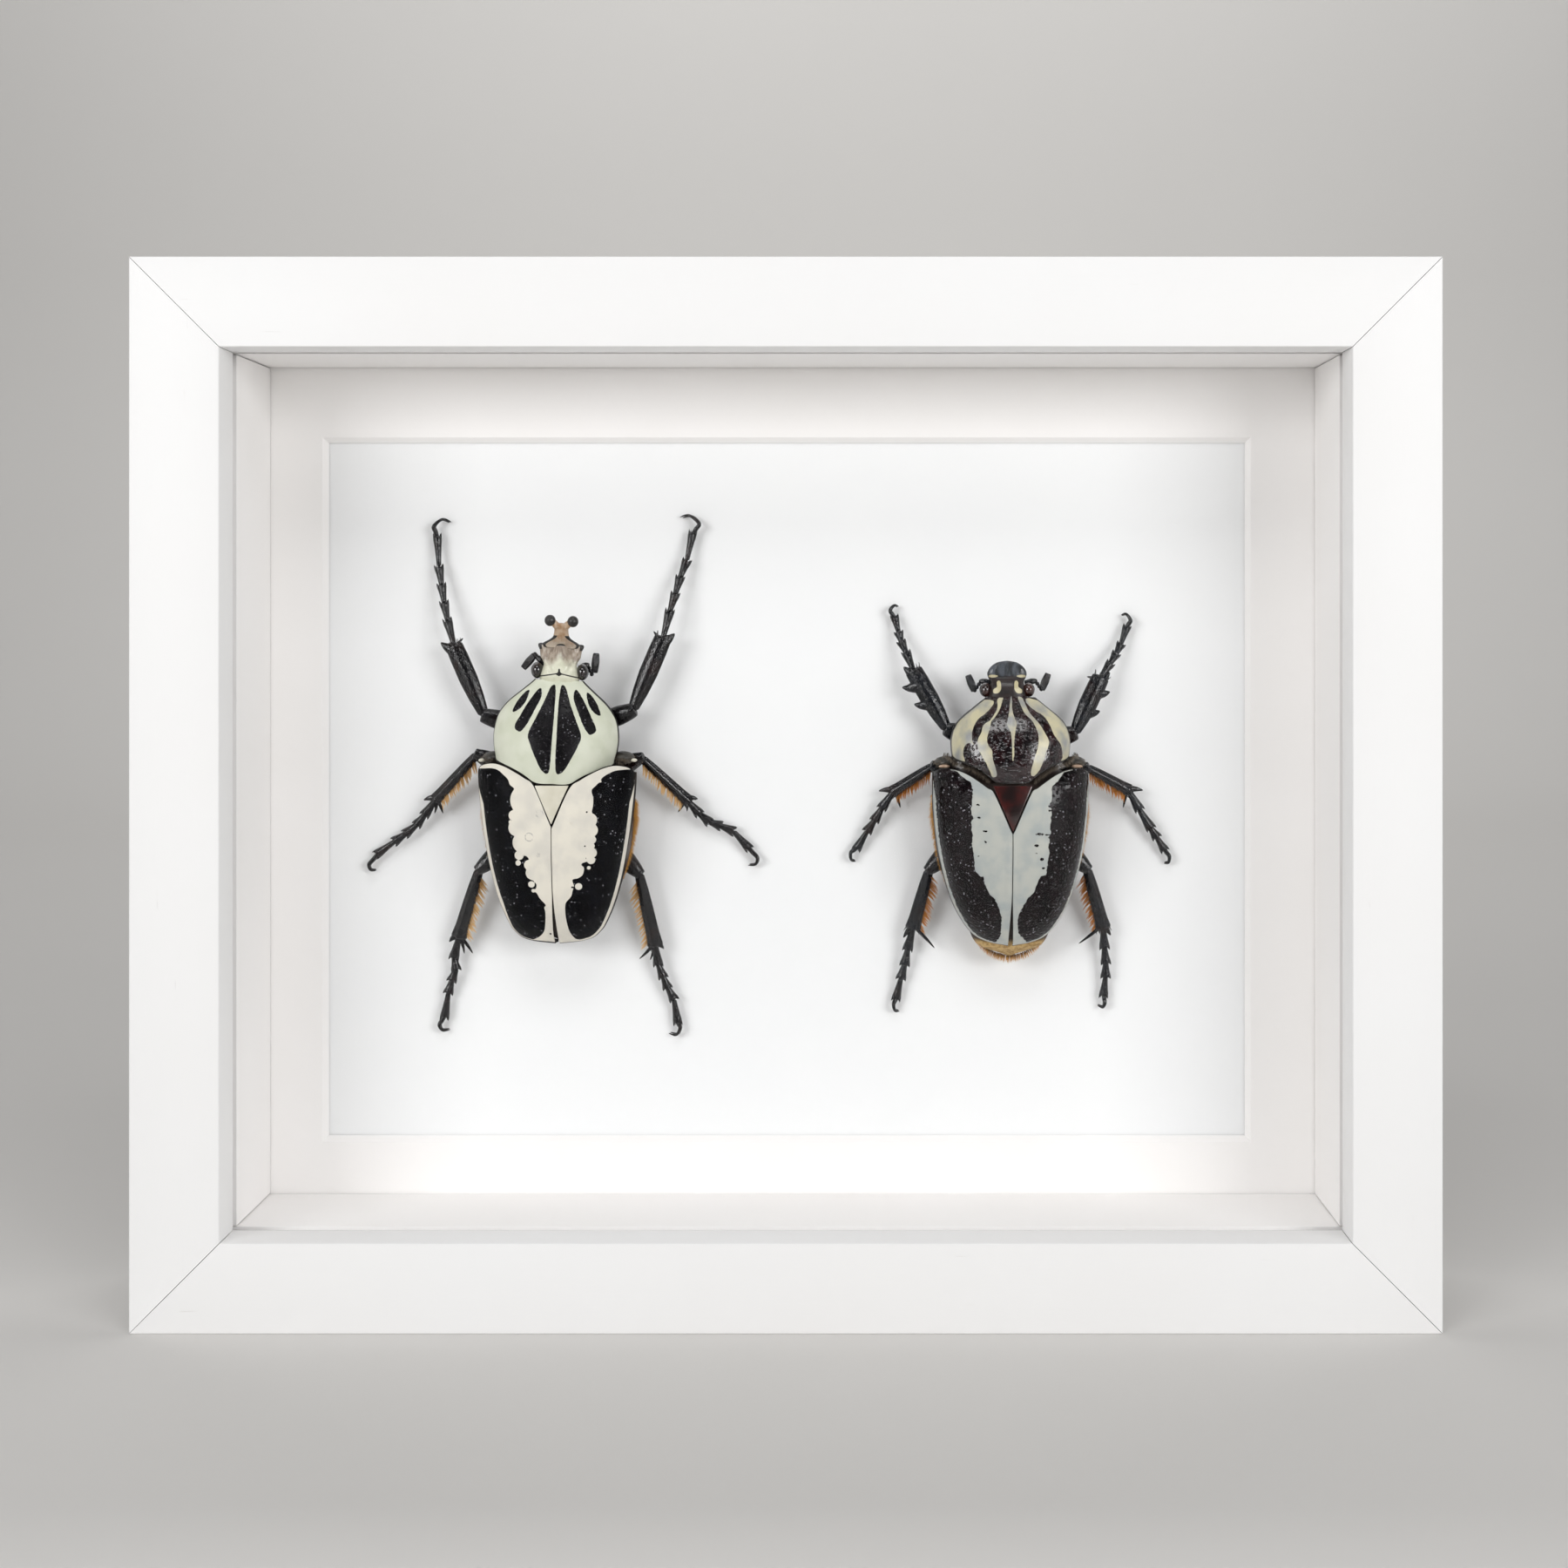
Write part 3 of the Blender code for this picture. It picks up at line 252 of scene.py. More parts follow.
# %% [markdown]
# ## Markings as distances
# A marking is an outline of a few points in millimetres. Each vertex stores how far inside the outline it
# lies, and the material turns dark where that number passes zero. Distance changes evenly from vertex to
# vertex, so the edge comes out crisp, with no picture at all. Lobes are discs that push the edge back.

# %% Distances to an outline
def rounded(points, between=6, closed=True):
    """More points on a smooth curve through an outline's few."""
    points = [Vector(point) for point in points]
    count = len(points)
    full = []
    last = count if closed else count - 1
    for index in range(last):
        if closed:
            a, b, c, d = (points[(index + step) % count] for step in (-1, 0, 1, 2))
        else:
            a = points[max(index - 1, 0)]
            b, c = points[index], points[index + 1]
            d = points[min(index + 2, count - 1)]
        for step in range(between):
            t = step / between
            bend = 2 * b + (c - a) * t + (2 * a - 5 * b + 4 * c - d) * t**2
            full.append((bend + (3 * b - a - 3 * c + d) * t**3) / 2)
    if not closed:
        full.append(points[-1])
    return full


def inside(places, outline):
    """How far each place lies inside an outline, in millimetres, and negative outside it."""
    start = np.array([tuple(point) for point in outline])
    step = np.roll(start, -1, axis=0) - start
    x, y = places[:, 0, None], places[:, 1, None]
    share = ((x - start[:, 0]) * step[:, 0] + (y - start[:, 1]) * step[:, 1]) / (step**2).sum(axis=1)
    share = np.clip(share, 0, 1)
    gap = np.hypot(x - start[:, 0] - share * step[:, 0], y - start[:, 1] - share * step[:, 1])
    end_y = start[:, 1] + step[:, 1]
    crosses = (start[:, 1] > y) != (end_y > y)
    slope = np.where(step[:, 1] == 0, 1.0, step[:, 1])
    hits = crosses & (x < start[:, 0] + (y - start[:, 1]) / slope * step[:, 0])
    sign = np.where(hits.sum(axis=1) % 2 == 1, 1.0, -1.0)
    return sign * gap.min(axis=1)


def outside_discs(places, discs):
    """How far each place lies outside the nearest of some discs of x, y and radius."""
    nearest = np.full(len(places), 9.0)
    for x, y, radius in discs:
        nearest = np.minimum(nearest, np.hypot(places[:, 0] - x, places[:, 1] - y) - radius)
    return nearest


def mesh_places(piece):
    places = np.empty(len(piece.data.vertices) * 3)
    piece.data.vertices.foreach_get("co", places)
    return places.reshape(-1, 3)


def store(piece, name, values):
    """Keeps one number for each vertex, for the material to read."""
    layer = piece.data.attributes.new(name, "FLOAT", "POINT")
    layer.data.foreach_set("value", np.ascontiguousarray(values, dtype=np.float32))


# %% [markdown]
# ## Materials
# Colours are written as they look on a screen, in hex, and turned to linear light once. One helper adds a
# node with its settings and what feeds it, and every finish below is built from it. Patterns are read
# from Object coordinates in metres, so a scale is one over a real size.

# %% Colour and node helpers
def colour(code):
    """Linear light and full cover from an sRGB hex colour."""
    parts = [int(code[i : i + 2], 16) / 255 for i in (1, 3, 5)]
    return [c / 12.92 if c <= 0.04045 else ((c + 0.055) / 1.055) ** 2.4 for c in parts] + [1.0]


def add(tree, kind, feeds=None, **settings):
    """Adds a node with its settings; feeds gives each input a value or the socket that drives it."""
    made = tree.nodes.new("ShaderNode" + kind)
    for name, value in settings.items():
        setattr(made, name, value)
    for name, value in (feeds or {}).items():
        if isinstance(value, bpy.types.NodeSocket):
            tree.links.new(value, made.inputs[name])
        else:
            made.inputs[name].default_value = value
    return made


def new_material(name, roughness, **shine):
    """A named material, its node tree and its Principled shader."""
    material = bpy.data.materials.new(name)
    material.use_nodes = True
    tree = material.node_tree
    shader = tree.nodes["Principled BSDF"]
    shader.inputs["Roughness"].default_value = roughness
    for name, value in shine.items():
        shader.inputs[name.replace("_", " ")].default_value = value
    return material, tree, shader


def object_place(tree, stretch=(1.0, 1.0, 1.0)):
    """Object coordinates, squeezed along an axis where the pattern has a grain."""
    place = add(tree, "TexCoord").outputs["Object"]
    return add(tree, "Mapping", {"Vector": place, "Scale": stretch}).outputs["Vector"]


def noise(tree, place, size, detail=2.0, rough=0.5):
    """Soft noise whose blotches are about size metres across."""
    feeds = {"Vector": place, "Scale": 1 / size, "Detail": detail, "Roughness": rough}
    return add(tree, "TexNoise", feeds).outputs["Fac"]


def remap(tree, value, low, high, to_low=0.0, to_high=1.0):
    feeds = {"Value": value, "From Min": low, "From Max": high, "To Min": to_low, "To Max": to_high}
    return add(tree, "MapRange", feeds, interpolation_type="SMOOTHSTEP").outputs["Result"]


def blend(tree, share, first, second):
    """Mixes two colours, each a hex code or a socket."""
    pair = [colour(c) if isinstance(c, str) else c for c in (first, second)]
    return add(tree, "Mix", {0: share, 6: pair[0], 7: pair[1]}, data_type="RGBA").outputs[2]


def relief(tree, shader, height, depth, strength=1.0, under=None):
    """Bump of a real depth in metres, over any bump that lies under it."""
    feeds = {"Height": height, "Distance": depth, "Strength": strength}
    if under is not None:
        feeds["Normal"] = under
    normal = add(tree, "Bump", feeds).outputs["Normal"]
    tree.links.new(normal, shader.inputs["Normal"])
    return normal


def read(tree, name):
    """A number that the mesh keeps for each vertex."""
    return add(tree, "Attribute", attribute_name=name).outputs["Fac"]


def product(tree, first, second):
    return add(tree, "Math", {0: first, 1: second}, operation="MULTIPLY").outputs[0]


def total(tree, first, second):
    return add(tree, "Math", {0: first, 1: second}, operation="ADD").outputs[0]


# %% [markdown]
# ## The painted frame
# The rails are open-grained wood under matt white paint. The paint fills most pores, so only a few show,
# as faint grey streaks that run along each rail. Upright and level rails need the grain turned, so the
# finish is made twice, stretched along z or along x.

# %% White painted wood
def painted_wood(name, stretch):
    """Matt white emulsion over ash: sparse long pores, a breath of warmth, a very fine brushed relief."""
    material, tree, shader = new_material(name, 0.5)
    place = object_place(tree, stretch)
    pores = remap(tree, noise(tree, place, 0.9 * MM, 3.0, 0.6), 0.70, 0.78)
    patches = remap(tree, noise(tree, object_place(tree), 26 * MM), 0.45, 0.6)
    shown = product(tree, pores, patches)
    paint = blend(tree, noise(tree, object_place(tree), 60 * MM), "#EFEFEF", "#ECEBEA")
    tree.links.new(blend(tree, product(tree, shown, 0.55), paint, "#B9B2AC"), shader.inputs["Base Color"])
    fine = noise(tree, place, 0.6 * MM, 3.0)
    under = relief(tree, shader, fine, 0.04 * MM, 0.5)
    level = add(tree, "Math", {0: 1.0, 1: shown}, operation="SUBTRACT").outputs[0]
    relief(tree, shader, level, 0.12 * MM, 0.6, under)
    return material


GRAIN = 0.045
WOOD_LEVEL = painted_wood("white_painted_ash_level", (GRAIN, 1.0, 1.0))
WOOD_UPRIGHT = painted_wood("white_painted_ash_upright", (1.0, 1.0, GRAIN))
print("a pore is", round(1 / GRAIN), "times as long as wide")

# %% [markdown]
# ## The frame's rails
# Each rail is a length of stepped moulding, mitred at both ends. By hand that is a box, cut once across
# its depth, whose inner front face is pulled in to make the lip. The edges of sanded and painted wood are
# never sharp, so they get a small bevel. Two slanted cuts then take off the ends, last, so that the mitres
# meet along their whole length.

# %% Model the four rails
FACE = 22.4 * MM
LIP = 11.7 * MM
REBATE = 6.0 * MM
MITRE_SLACK = 0.1 * MM
EDGE_ROUND = 0.45 * MM


def cut(piece, point, normal, drop):
    """Cuts the whole mesh through a plane and may drop what lies past it."""
    edit(piece)
    bpy.ops.mesh.bisect(plane_co=point, plane_no=normal, use_fill=drop, clear_outer=drop)
    leave()


def model_rail(length, turn, place):
    """One rail, made as the top one lies and then turned to its side of the frame."""
    depth = FRAME_HIGH.y - FRAME_LOW.y
    height = FACE - REBATE
    deselect()
    bpy.ops.mesh.primitive_cube_add(size=1.0, location=(0.0, depth / 2, -height / 2))
    rail = bpy.context.object
    rail.scale = (length + 4 * MM, depth, height)
    bpy.ops.object.transform_apply()
    cut(rail, (0.0, LIP, 0.0), (0.0, 1.0, 0.0), False)
    edit(rail, "DESELECT")
    pick_faces(rail, lambda centre, normal: normal.z < -0.9 and centre.y < LIP)
    bpy.ops.mesh.extrude_region_move(TRANSFORM_OT_translate={"value": (0.0, 0.0, -REBATE)})
    leave()
    apply_modifier(rail, "BEVEL", width=EDGE_ROUND, segments=3, limit_method="ANGLE")
    for side in (-1, 1):
        end = Vector((side * (length / 2 - MITRE_SLACK), 0.0, 0.0))
        cut(rail, end, (side, 0.0, -1.0), True)
    rail.data.transform(Matrix.Translation(place) @ Matrix.Rotation(turn, 4, "Y"))
    return rail


def build_rails():
    width = FRAME_HIGH.x - FRAME_LOW.x
    height = FRAME_HIGH.z - FRAME_LOW.z
    middle = height / 2
    front = FRAME_LOW.y
    sides = (
        ("top", width, 0.0, (0.0, front, height), WOOD_LEVEL),
        ("right", height, math.pi / 2, (width / 2, front, middle), WOOD_UPRIGHT),
        ("bottom", width, math.pi, (0.0, front, 0.0), WOOD_LEVEL),
        ("left", height, -math.pi / 2, (-width / 2, front, middle), WOOD_UPRIGHT),
    )
    for name, length, turn, place, wood in sides:
        rail = model_rail(length, turn, place)
        keep(rail, f"rail_{name}", wood, (f"frame_rail_{name}",), smooth=30)


build_rails()
print("rails modelled: 4, lip", round(LIP / MM, 1), "mm deep")

# %% [markdown]
# ## What the frame holds
# The glass is thin and flat, so it needs no bending of light: it is clear, and mirrors a little more at
# a slant. Picture glass for specimens is coated, so it mirrors far less than a window. A Fresnel node
# would turn its inner face into a full mirror at a steep slant, so the mirror grows with the fifth power
# of Facing instead, which is Schlick's rule and the same from both sides. The card parts keep their
# solids. Spacer and mount are a warmer white than the backing card, as paper whites are.

# %% Glass, card, board and steel
def coated_glass():
    """Float glass with an anti-glare coat: see-through, with a weak mirror that grows at a slant."""
    material, tree, _ = new_material("coated_picture_glass", 0.0)
    clear = add(tree, "BsdfTransparent", {"Color": (0.99, 0.99, 0.99, 1.0)})
    mirror = add(tree, "BsdfGlossy", {"Color": (1.0, 1.0, 1.0, 1.0), "Roughness": 0.02})
    facing = add(tree, "LayerWeight", {"Blend": 0.5}).outputs["Facing"]
    slant = add(tree, "Math", {0: facing, 1: 5.0}, operation="POWER").outputs[0]
    share = add(tree, "MapRange", {"Value": slant, "To Min": 0.003, "To Max": 0.9}).outputs["Result"]
    mixed = add(tree, "MixShader", {0: share, 1: clear.outputs[0], 2: mirror.outputs[0]})
    tree.links.new(mixed.outputs[0], tree.nodes["Material Output"].inputs["Surface"])
    return material


def card_stock(name, pale, shade):
    """Smooth rag card: almost flat white with a fine pulp tooth."""
    material, tree, shader = new_material(name, 0.85)
    place = object_place(tree)
    tree.links.new(blend(tree, noise(tree, place, 30 * MM), pale, shade), shader.inputs["Base Color"])
    relief(tree, shader, noise(tree, place, 0.35 * MM, 3.0), 0.02 * MM, 0.5)
    return material


def hardboard():
    """Pressed brown fibreboard: fibres matted every way, slightly waxy."""
    material, tree, shader = new_material("pressed_fibreboard", 0.62)
    long_ways = noise(tree, object_place(tree, (1.0, 1.0, 0.25)), 1.4 * MM, 4.0)
    cross_ways = noise(tree, object_place(tree, (0.25, 1.0, 1.0)), 1.4 * MM, 4.0)
    fibres = add(tree, "Math", {0: long_ways, 1: cross_ways}, operation="MAXIMUM").outputs[0]
    shade = blend(tree, remap(tree, fibres, 0.45, 0.75), "#5E4026", "#8A6440")
    tree.links.new(shade, shader.inputs["Base Color"])
    relief(tree, shader, fibres, 0.08 * MM, 0.6)
    return material


def zinc_steel():
    """Zinc-plated strip: grey metal, cloudy, with rolling lines."""
    material, tree, shader = new_material("zinc_plated_strip", 0.38, Metallic=1.0)
    clouds = noise(tree, object_place(tree), 3 * MM, 3.0)
    tree.links.new(blend(tree, clouds, "#9FA1A0", "#C3C4C1"), shader.inputs["Base Color"])
    tree.links.new(remap(tree, clouds, 0.2, 0.8, 0.3, 0.5), shader.inputs["Roughness"])
    return material


def finish_node(name, material):
    """Gives a solid that keeps its shape a better finish."""
    slots = nodes[name].data.materials
    slots.clear()
    slots.append(material)


WARM_CARD = card_stock("warm_white_mount_card", "#FBF9F8", "#F7F5F3")
COOL_CARD = card_stock("cool_white_backing_card", "#F7F8F8", "#F4F5F6")
finish_node("glass_pane", coated_glass())
finish_node("mount_board", WARM_CARD)
finish_node("backing_card", COOL_CARD)
finish_node("back_panel", hardboard())
STEEL = zinc_steel()
for name in nodes:
    if name.startswith("spacer_"):
        finish_node(name, WARM_CARD)
    if name.startswith("back_tab_"):
        finish_node(name, STEEL)
print("case finished:", len([n for n in nodes if n.startswith("spacer_")]), "spacers")

# %% [markdown]
# ## Beetle shell finishes
# Beetle shell is chitin, as hard and shiny as horn. On this beetle the pale parts are chalky and satin, and
# the black ones velvety on the wing covers, or glossy and pitted on the front shield and legs. One function
# makes the two-coloured shells: it reads the stored distance, roughens the edge a little with noise, and
# gives each side its own colour, gloss and pits. It also paints some pit bottoms pale grey, partly real pale
# dots and partly painted highlights, and a dark line along the edges, partly the shell's dark margin and
# partly painted shade in the gaps and under the rolled-under edges.

# %% Two-coloured shell
def pits(tree, place, size):
    """Round pits: low where a cell's middle is near, level elsewhere."""
    cells = add(tree, "TexVoronoi", {"Vector": place, "Scale": 1 / size, "Randomness": 0.85})
    return remap(tree, cells.outputs["Distance"], 0.14, 0.48)


def marked_shell(name, pale, dark, gloss, pit, edge, ragged=0.5, specks_and_glints=0.7):
    """Pale shell with dark markings where the stored distance is above zero.

    gloss gives the roughness of the pale and of the dark, and the shine of both, pit the pits' size and
    depth, and specks_and_glints how far the bottoms of some pits are painted pale grey: partly real pale
    dots, partly painted highlights of pits catching the light."""
    material, tree, shader = new_material(name, gloss[0], Specular_IOR_Level=gloss[2])
    place = object_place(tree)
    wander = add(tree, "Math", {0: noise(tree, place, ragged * MM, 3.0), 1: 0.5}, operation="SUBTRACT")
    mark = total(tree, read(tree, "mark"), product(tree, wander.outputs[0], edge))
    share = remap(tree, mark, -0.05, 0.05)
    light = blend(tree, remap(tree, noise(tree, place, 5 * MM, 3.0), 0.35, 0.7), *pale)
    stain = remap(tree, noise(tree, place, 1.6 * MM, 4.0, 0.7), 0.62, 0.8)
    light = blend(tree, product(tree, stain, 0.2), light, "#9C8C68")
    deep = blend(tree, remap(tree, noise(tree, place, 2.5 * MM, 3.0), 0.3, 0.75), *dark)
    feeds = {"Vector": place, "Scale": 1 / pit[0], "Randomness": 0.85}
    cells = add(tree, "TexVoronoi", feeds).outputs["Distance"]
    # Painted highlight: some pit bottoms on the dark side turn pale grey, partly real pale dots and partly
    # painted glints of pits catching the light.
    some = remap(tree, noise(tree, place, 2.4 * MM), 0.48, 0.6, 0.0, specks_and_glints)
    deep = blend(tree, product(tree, remap(tree, cells, 0.24, 0.16), some), deep, "#A9A8B0")
    body = blend(tree, share, light, deep)
    # Painted dark edge line: partly the shell's own dark margin, partly painted shade in the gaps between
    # parts and under the rolled-under edge.
    rim = remap(tree, read(tree, "rim"), -0.05, 0.05)
    tree.links.new(blend(tree, rim, body, "#14100E"), shader.inputs["Base Color"])
    tree.links.new(remap(tree, share, 0.0, 1.0, gloss[0], gloss[1]), shader.inputs["Roughness"])
    soft = relief(tree, shader, noise(tree, place, 3 * MM, 2.0), 0.12 * MM, 0.6)
    depth = product(tree, remap(tree, cells, 0.14, 0.5), share)
    level = add(tree, "Math", {0: 1.0, 1: share}, operation="SUBTRACT").outputs[0]
    relief(tree, shader, total(tree, depth, level), pit[1], 0.9, soft)
    return material


def front_shield_shell():
    """The male's front shield: greenish ivory, with glossy pitted black bars."""
    return marked_shell("ivory_chitin_with_black_bars", ("#D6D9C8", "#CBCFBB"), ("#060507", "#120F13"),
                        (0.42, 0.3, 0.18), (0.75 * MM, 0.14 * MM), 0.26, 0.5, 0.6)


def wing_cover_shell():
    """The male's wing covers: chalky grey-ivory, with velvety blue-black bands, a few pale pit bottoms that
    are partly real dots and partly painted highlights, and the faint rings of old pin marks."""
    material = marked_shell("chalky_chitin_with_black_bands", ("#E4DFD2", "#D6D2C8"), ("#010102", "#07080D"),
                            (0.46, 0.4, 0.06), (1.0 * MM, 0.09 * MM), 0.16, 0.35, 0.6)
    tree = material.node_tree
    colour_in = tree.nodes["Principled BSDF"].inputs["Base Color"]
    base = colour_in.links[0].from_socket
    ring = remap(tree, read(tree, "scar"), 0.22, 0.06, 0.0, 0.7)
    tree.links.new(blend(tree, ring, base, "#9B9A99"), colour_in)
    return material


def female_shield_shell():
    """The female's front shield: glossy maroon-black, deeply pitted, with ivory stripes."""
    return marked_shell("maroon_chitin_with_ivory_stripes", ("#C6BF9E", "#8F9190"), ("#060305", "#260A0D"),
                        (0.34, 0.13, 0.8), (0.8 * MM, 0.2 * MM), 0.3, 0.5, 0.6)


def female_cover_shell():
    """The female's wing covers: glossy maroon-black sides and a grey-white middle with a torn edge."""
    return marked_shell("maroon_chitin_with_grey_middle", ("#B9BBB4", "#A6ACAB"), ("#030203", "#14080C"),
                        (0.36, 0.16, 0.26), (0.85 * MM, 0.12 * MM), 0.75, 0.6, 0.8)


SHIELD = front_shield_shell()
COVER = wing_cover_shell()
FEMALE_SHIELD = female_shield_shell()
FEMALE_COVER = female_cover_shell()
print("two-coloured shells:", [shell.name for shell in (SHIELD, COVER, FEMALE_SHIELD, FEMALE_COVER)])

# %% [markdown]
# ## Plain shells, eyes and hair
# The legs are black with a purple-brown depth, ridged along their length and pitted, and glossy enough
# to show grey lights. The head passes from ivory at the back to grey-brown towards the horn. Hair is
# golden on the male and rust red on the female, darker at the roots.

# %% One-coloured shells
def leg_shell(name, dark, shade, warm):
    """Glossy black leg shell: pits and fine ridges that break up its highlights."""
    material, tree, shader = new_material(name, 0.25, Specular_IOR_Level=0.55)
    place = object_place(tree)
    tone = remap(tree, noise(tree, place, 2.2 * MM, 3.0), 0.35, 0.7)
    warmth = remap(tree, noise(tree, place, 6 * MM, 2.0), 0.52, 0.7)
    tree.links.new(blend(tree, warmth, blend(tree, tone, dark, shade), warm), shader.inputs["Base Color"])
    worn = remap(tree, noise(tree, place, 0.7 * MM, 3.0), 0.3, 0.7, 0.12, 0.28)
    tree.links.new(worn, shader.inputs["Roughness"])
    under = relief(tree, shader, noise(tree, place, 1.1 * MM, 3.0, 0.6), 0.2 * MM, 0.6)
    relief(tree, shader, pits(tree, place, 0.6 * MM), 0.06 * MM, 0.6, under)
    return material


def plain_shell(name, pale, shade, roughness, size, depth=0.06 * MM, coat=0.3):
    """A shell of one colour that varies softly."""
    material, tree, shader = new_material(name, roughness, Coat_Weight=coat, Coat_Roughness=0.2)
    place = object_place(tree)
    tree.links.new(blend(tree, remap(tree, noise(tree, place, size, 4.0), 0.3, 0.7), pale, shade),
                   shader.inputs["Base Color"])
    relief(tree, shader, noise(tree, place, size * 0.3, 3.0), depth, 0.7)
    return material


def head_shell(name, rear, rear_shade, front, front_shade):
    """Head shell that passes from one colour at the back to another at the front, black where marked."""
    material, tree, shader = new_material(name, 0.38, Coat_Weight=0.35, Coat_Roughness=0.2)
    place = object_place(tree)
    blur = noise(tree, place, 1.4 * MM, 3.0)
    pale = blend(tree, remap(tree, noise(tree, place, 2 * MM, 3.0), 0.4, 0.7), rear, rear_shade)
    streaks = noise(tree, object_place(tree, (1.0, 1.0, 0.3)), 1.1 * MM, 3.0)
    deep = blend(tree, remap(tree, streaks, 0.38, 0.62), front, front_shade)
    tone = remap(tree, total(tree, read(tree, "tone"), product(tree, blur, 0.7)), 0.2, 0.95)
    body = blend(tree, tone, pale, deep)
    body = blend(tree, remap(tree, read(tree, "pale"), 0.0, 0.14), body, "#BEB48F")
    dark = remap(tree, read(tree, "mark"), -0.08, 0.08)
    tree.links.new(blend(tree, dark, body, "#16120F"), shader.inputs["Base Color"])
    under = relief(tree, shader, noise(tree, place, 1.5 * MM, 2.0), 0.12 * MM, 0.6)
    relief(tree, shader, pits(tree, place, 0.45 * MM), 0.05 * MM, 0.6, under)
    return material


def hair(name, root, tip):
    """Stiff hair, darker at its root."""
    material, tree, shader = new_material(name, 0.55)
    streak = noise(tree, object_place(tree), 0.8 * MM, 2.0)
    share = total(tree, read(tree, "along"), product(tree, streak, 0.4))
    tree.links.new(blend(tree, remap(tree, share, 0.15, 0.9), root, tip), shader.inputs["Base Color"])
    return material


def eye_shell(name, dark, shade):
    """A polished compound eye: near black, with facets too fine to see but for a soft glow."""
    material, tree, shader = new_material(name, 0.16, Coat_Weight=1.0, Coat_Roughness=0.05)
    place = object_place(tree)
    tree.links.new(blend(tree, remap(tree, noise(tree, place, 1.6 * MM), 0.4, 0.7), dark, shade),
                   shader.inputs["Base Color"])
    relief(tree, shader, pits(tree, place, 0.16 * MM), 0.01 * MM, 0.4)
    return material


LEG = leg_shell("black_leg_chitin", "#040305", "#0E0C10", "#170B0A")
FEMALE_LEG = leg_shell("blue_black_leg_chitin", "#050609", "#12151C", "#170B0A")
PLATE = plain_shell("cream_scutellum_chitin", "#DDD9C9", "#D1CCBA", 0.42, 3 * MM)
FEMALE_PLATE = plain_shell("dark_red_scutellum_chitin", "#180605", "#4A120E", 0.2, 3.5 * MM, coat=0.7)
UNDERSIDE = plain_shell("dark_brown_underside_chitin", "#1E130E", "#3A2417", 0.5, 2 * MM)
SIDE = plain_shell("dark_olive_side_plate_chitin", "#1D1A15", "#37332A", 0.5, 1.2 * MM)
LOBE = plain_shell("pink_ivory_shoulder_lobe", "#CDB49C", "#A98A74", 0.4, 1 * MM)
HORN = head_shell("brown_horn_chitin", "#B4A797", "#8E7F70", "#BBA38A", "#A58260")
HEAD = head_shell("ivory_head_chitin", "#DCDCC8", "#D0D1BA", "#AC9F90", "#877869")
FEMALE_HEAD = head_shell("slate_head_chitin", "#1D0B0A", "#0D0809", "#1C1F23", "#464B52")
EYE = eye_shell("black_brown_eye", "#0B0708", "#241412")
FEMALE_EYE = eye_shell("red_brown_eye", "#1D0B08", "#3D1810")
GOLD_HAIR = hair("golden_tan_hair", "#9C6828", "#F0CC92")
RUST_HAIR = hair("rust_red_hair", "#6E3A12", "#CF8A3A")
BROWN_HAIR = hair("brown_body_hair", "#64421C", "#CF9A4C")
GREY_HAIR = hair("grey_brown_body_hair", "#2F271F", "#85796A")
print("materials:", len(bpy.data.materials))

# %% [markdown]
# ## The male's front shield
# The pronotum is the big domed shield behind the head. It is one thin shell: a grid that follows the
# front edge, swells over the back and ends on a wavy hind edge, rolled under at both sides. The stations
# give half width, back and side seam at each y. The three black bars on each side are mirrored outlines.

# %% Shield stations and outlines
SHIELD_ROWS = (
    (29.0, 5.4, 15.0, 13.9), (27.4, 6.5, 16.0, 13.8), (25.0, 9.1, 17.6, 13.4), (22.0, 12.5, 19.3, 12.9),
    (19.6, 14.5, 20.6, 12.7), (17.3, 15.7, 21.5, 12.5), (13.0, 16.4, 23.0, 12.4), (9.5, 16.2, 23.7, 12.4),
    (7.0, 15.7, 23.9, 12.4), (4.0, 15.4, 23.7, 12.5), (0.2, 15.0, 23.0, 12.6),
)
SHIELD_FRONT = ((0.0, 28.8), (4.9, 28.2), (9.8, 27.6), (12.7, 27.5), (15.2, 27.5), (16.5, 27.0))
SHIELD_REAR = (
    (0.0, 0.65), (3.0, 0.6), (4.8, 1.0), (6.6, 2.2), (8.3, 3.2), (10.8, 4.3), (12.8, 5.0), (14.8, 5.7),
    (15.9, 6.7), (16.5, 8.4),
)
SHIELD_BARS = (
    ((0.95, 26.3), (0.55, 24.6), (0.45, 19.8), (0.55, 13.0), (0.85, 4.3), (2.7, 4.3), (4.6, 7.6),
     (6.1, 10.9), (6.8, 13.6), (5.1, 17.8), (3.4, 21.8), (2.0, 25.6)),
    ((4.4, 25.2), (5.4, 24.7), (7.4, 21.6), (9.2, 18.2), (10.5, 15.2), (9.0, 14.0), (7.3, 16.0),
     (5.7, 19.4), (4.2, 23.0)),
    ((7.4, 24.6), (8.7, 23.9), (10.4, 21.6), (11.4, 18.9), (9.6, 19.7), (8.1, 21.8)),
)
SQUARE_SHIELD = 2.2
ROLL = 1.6


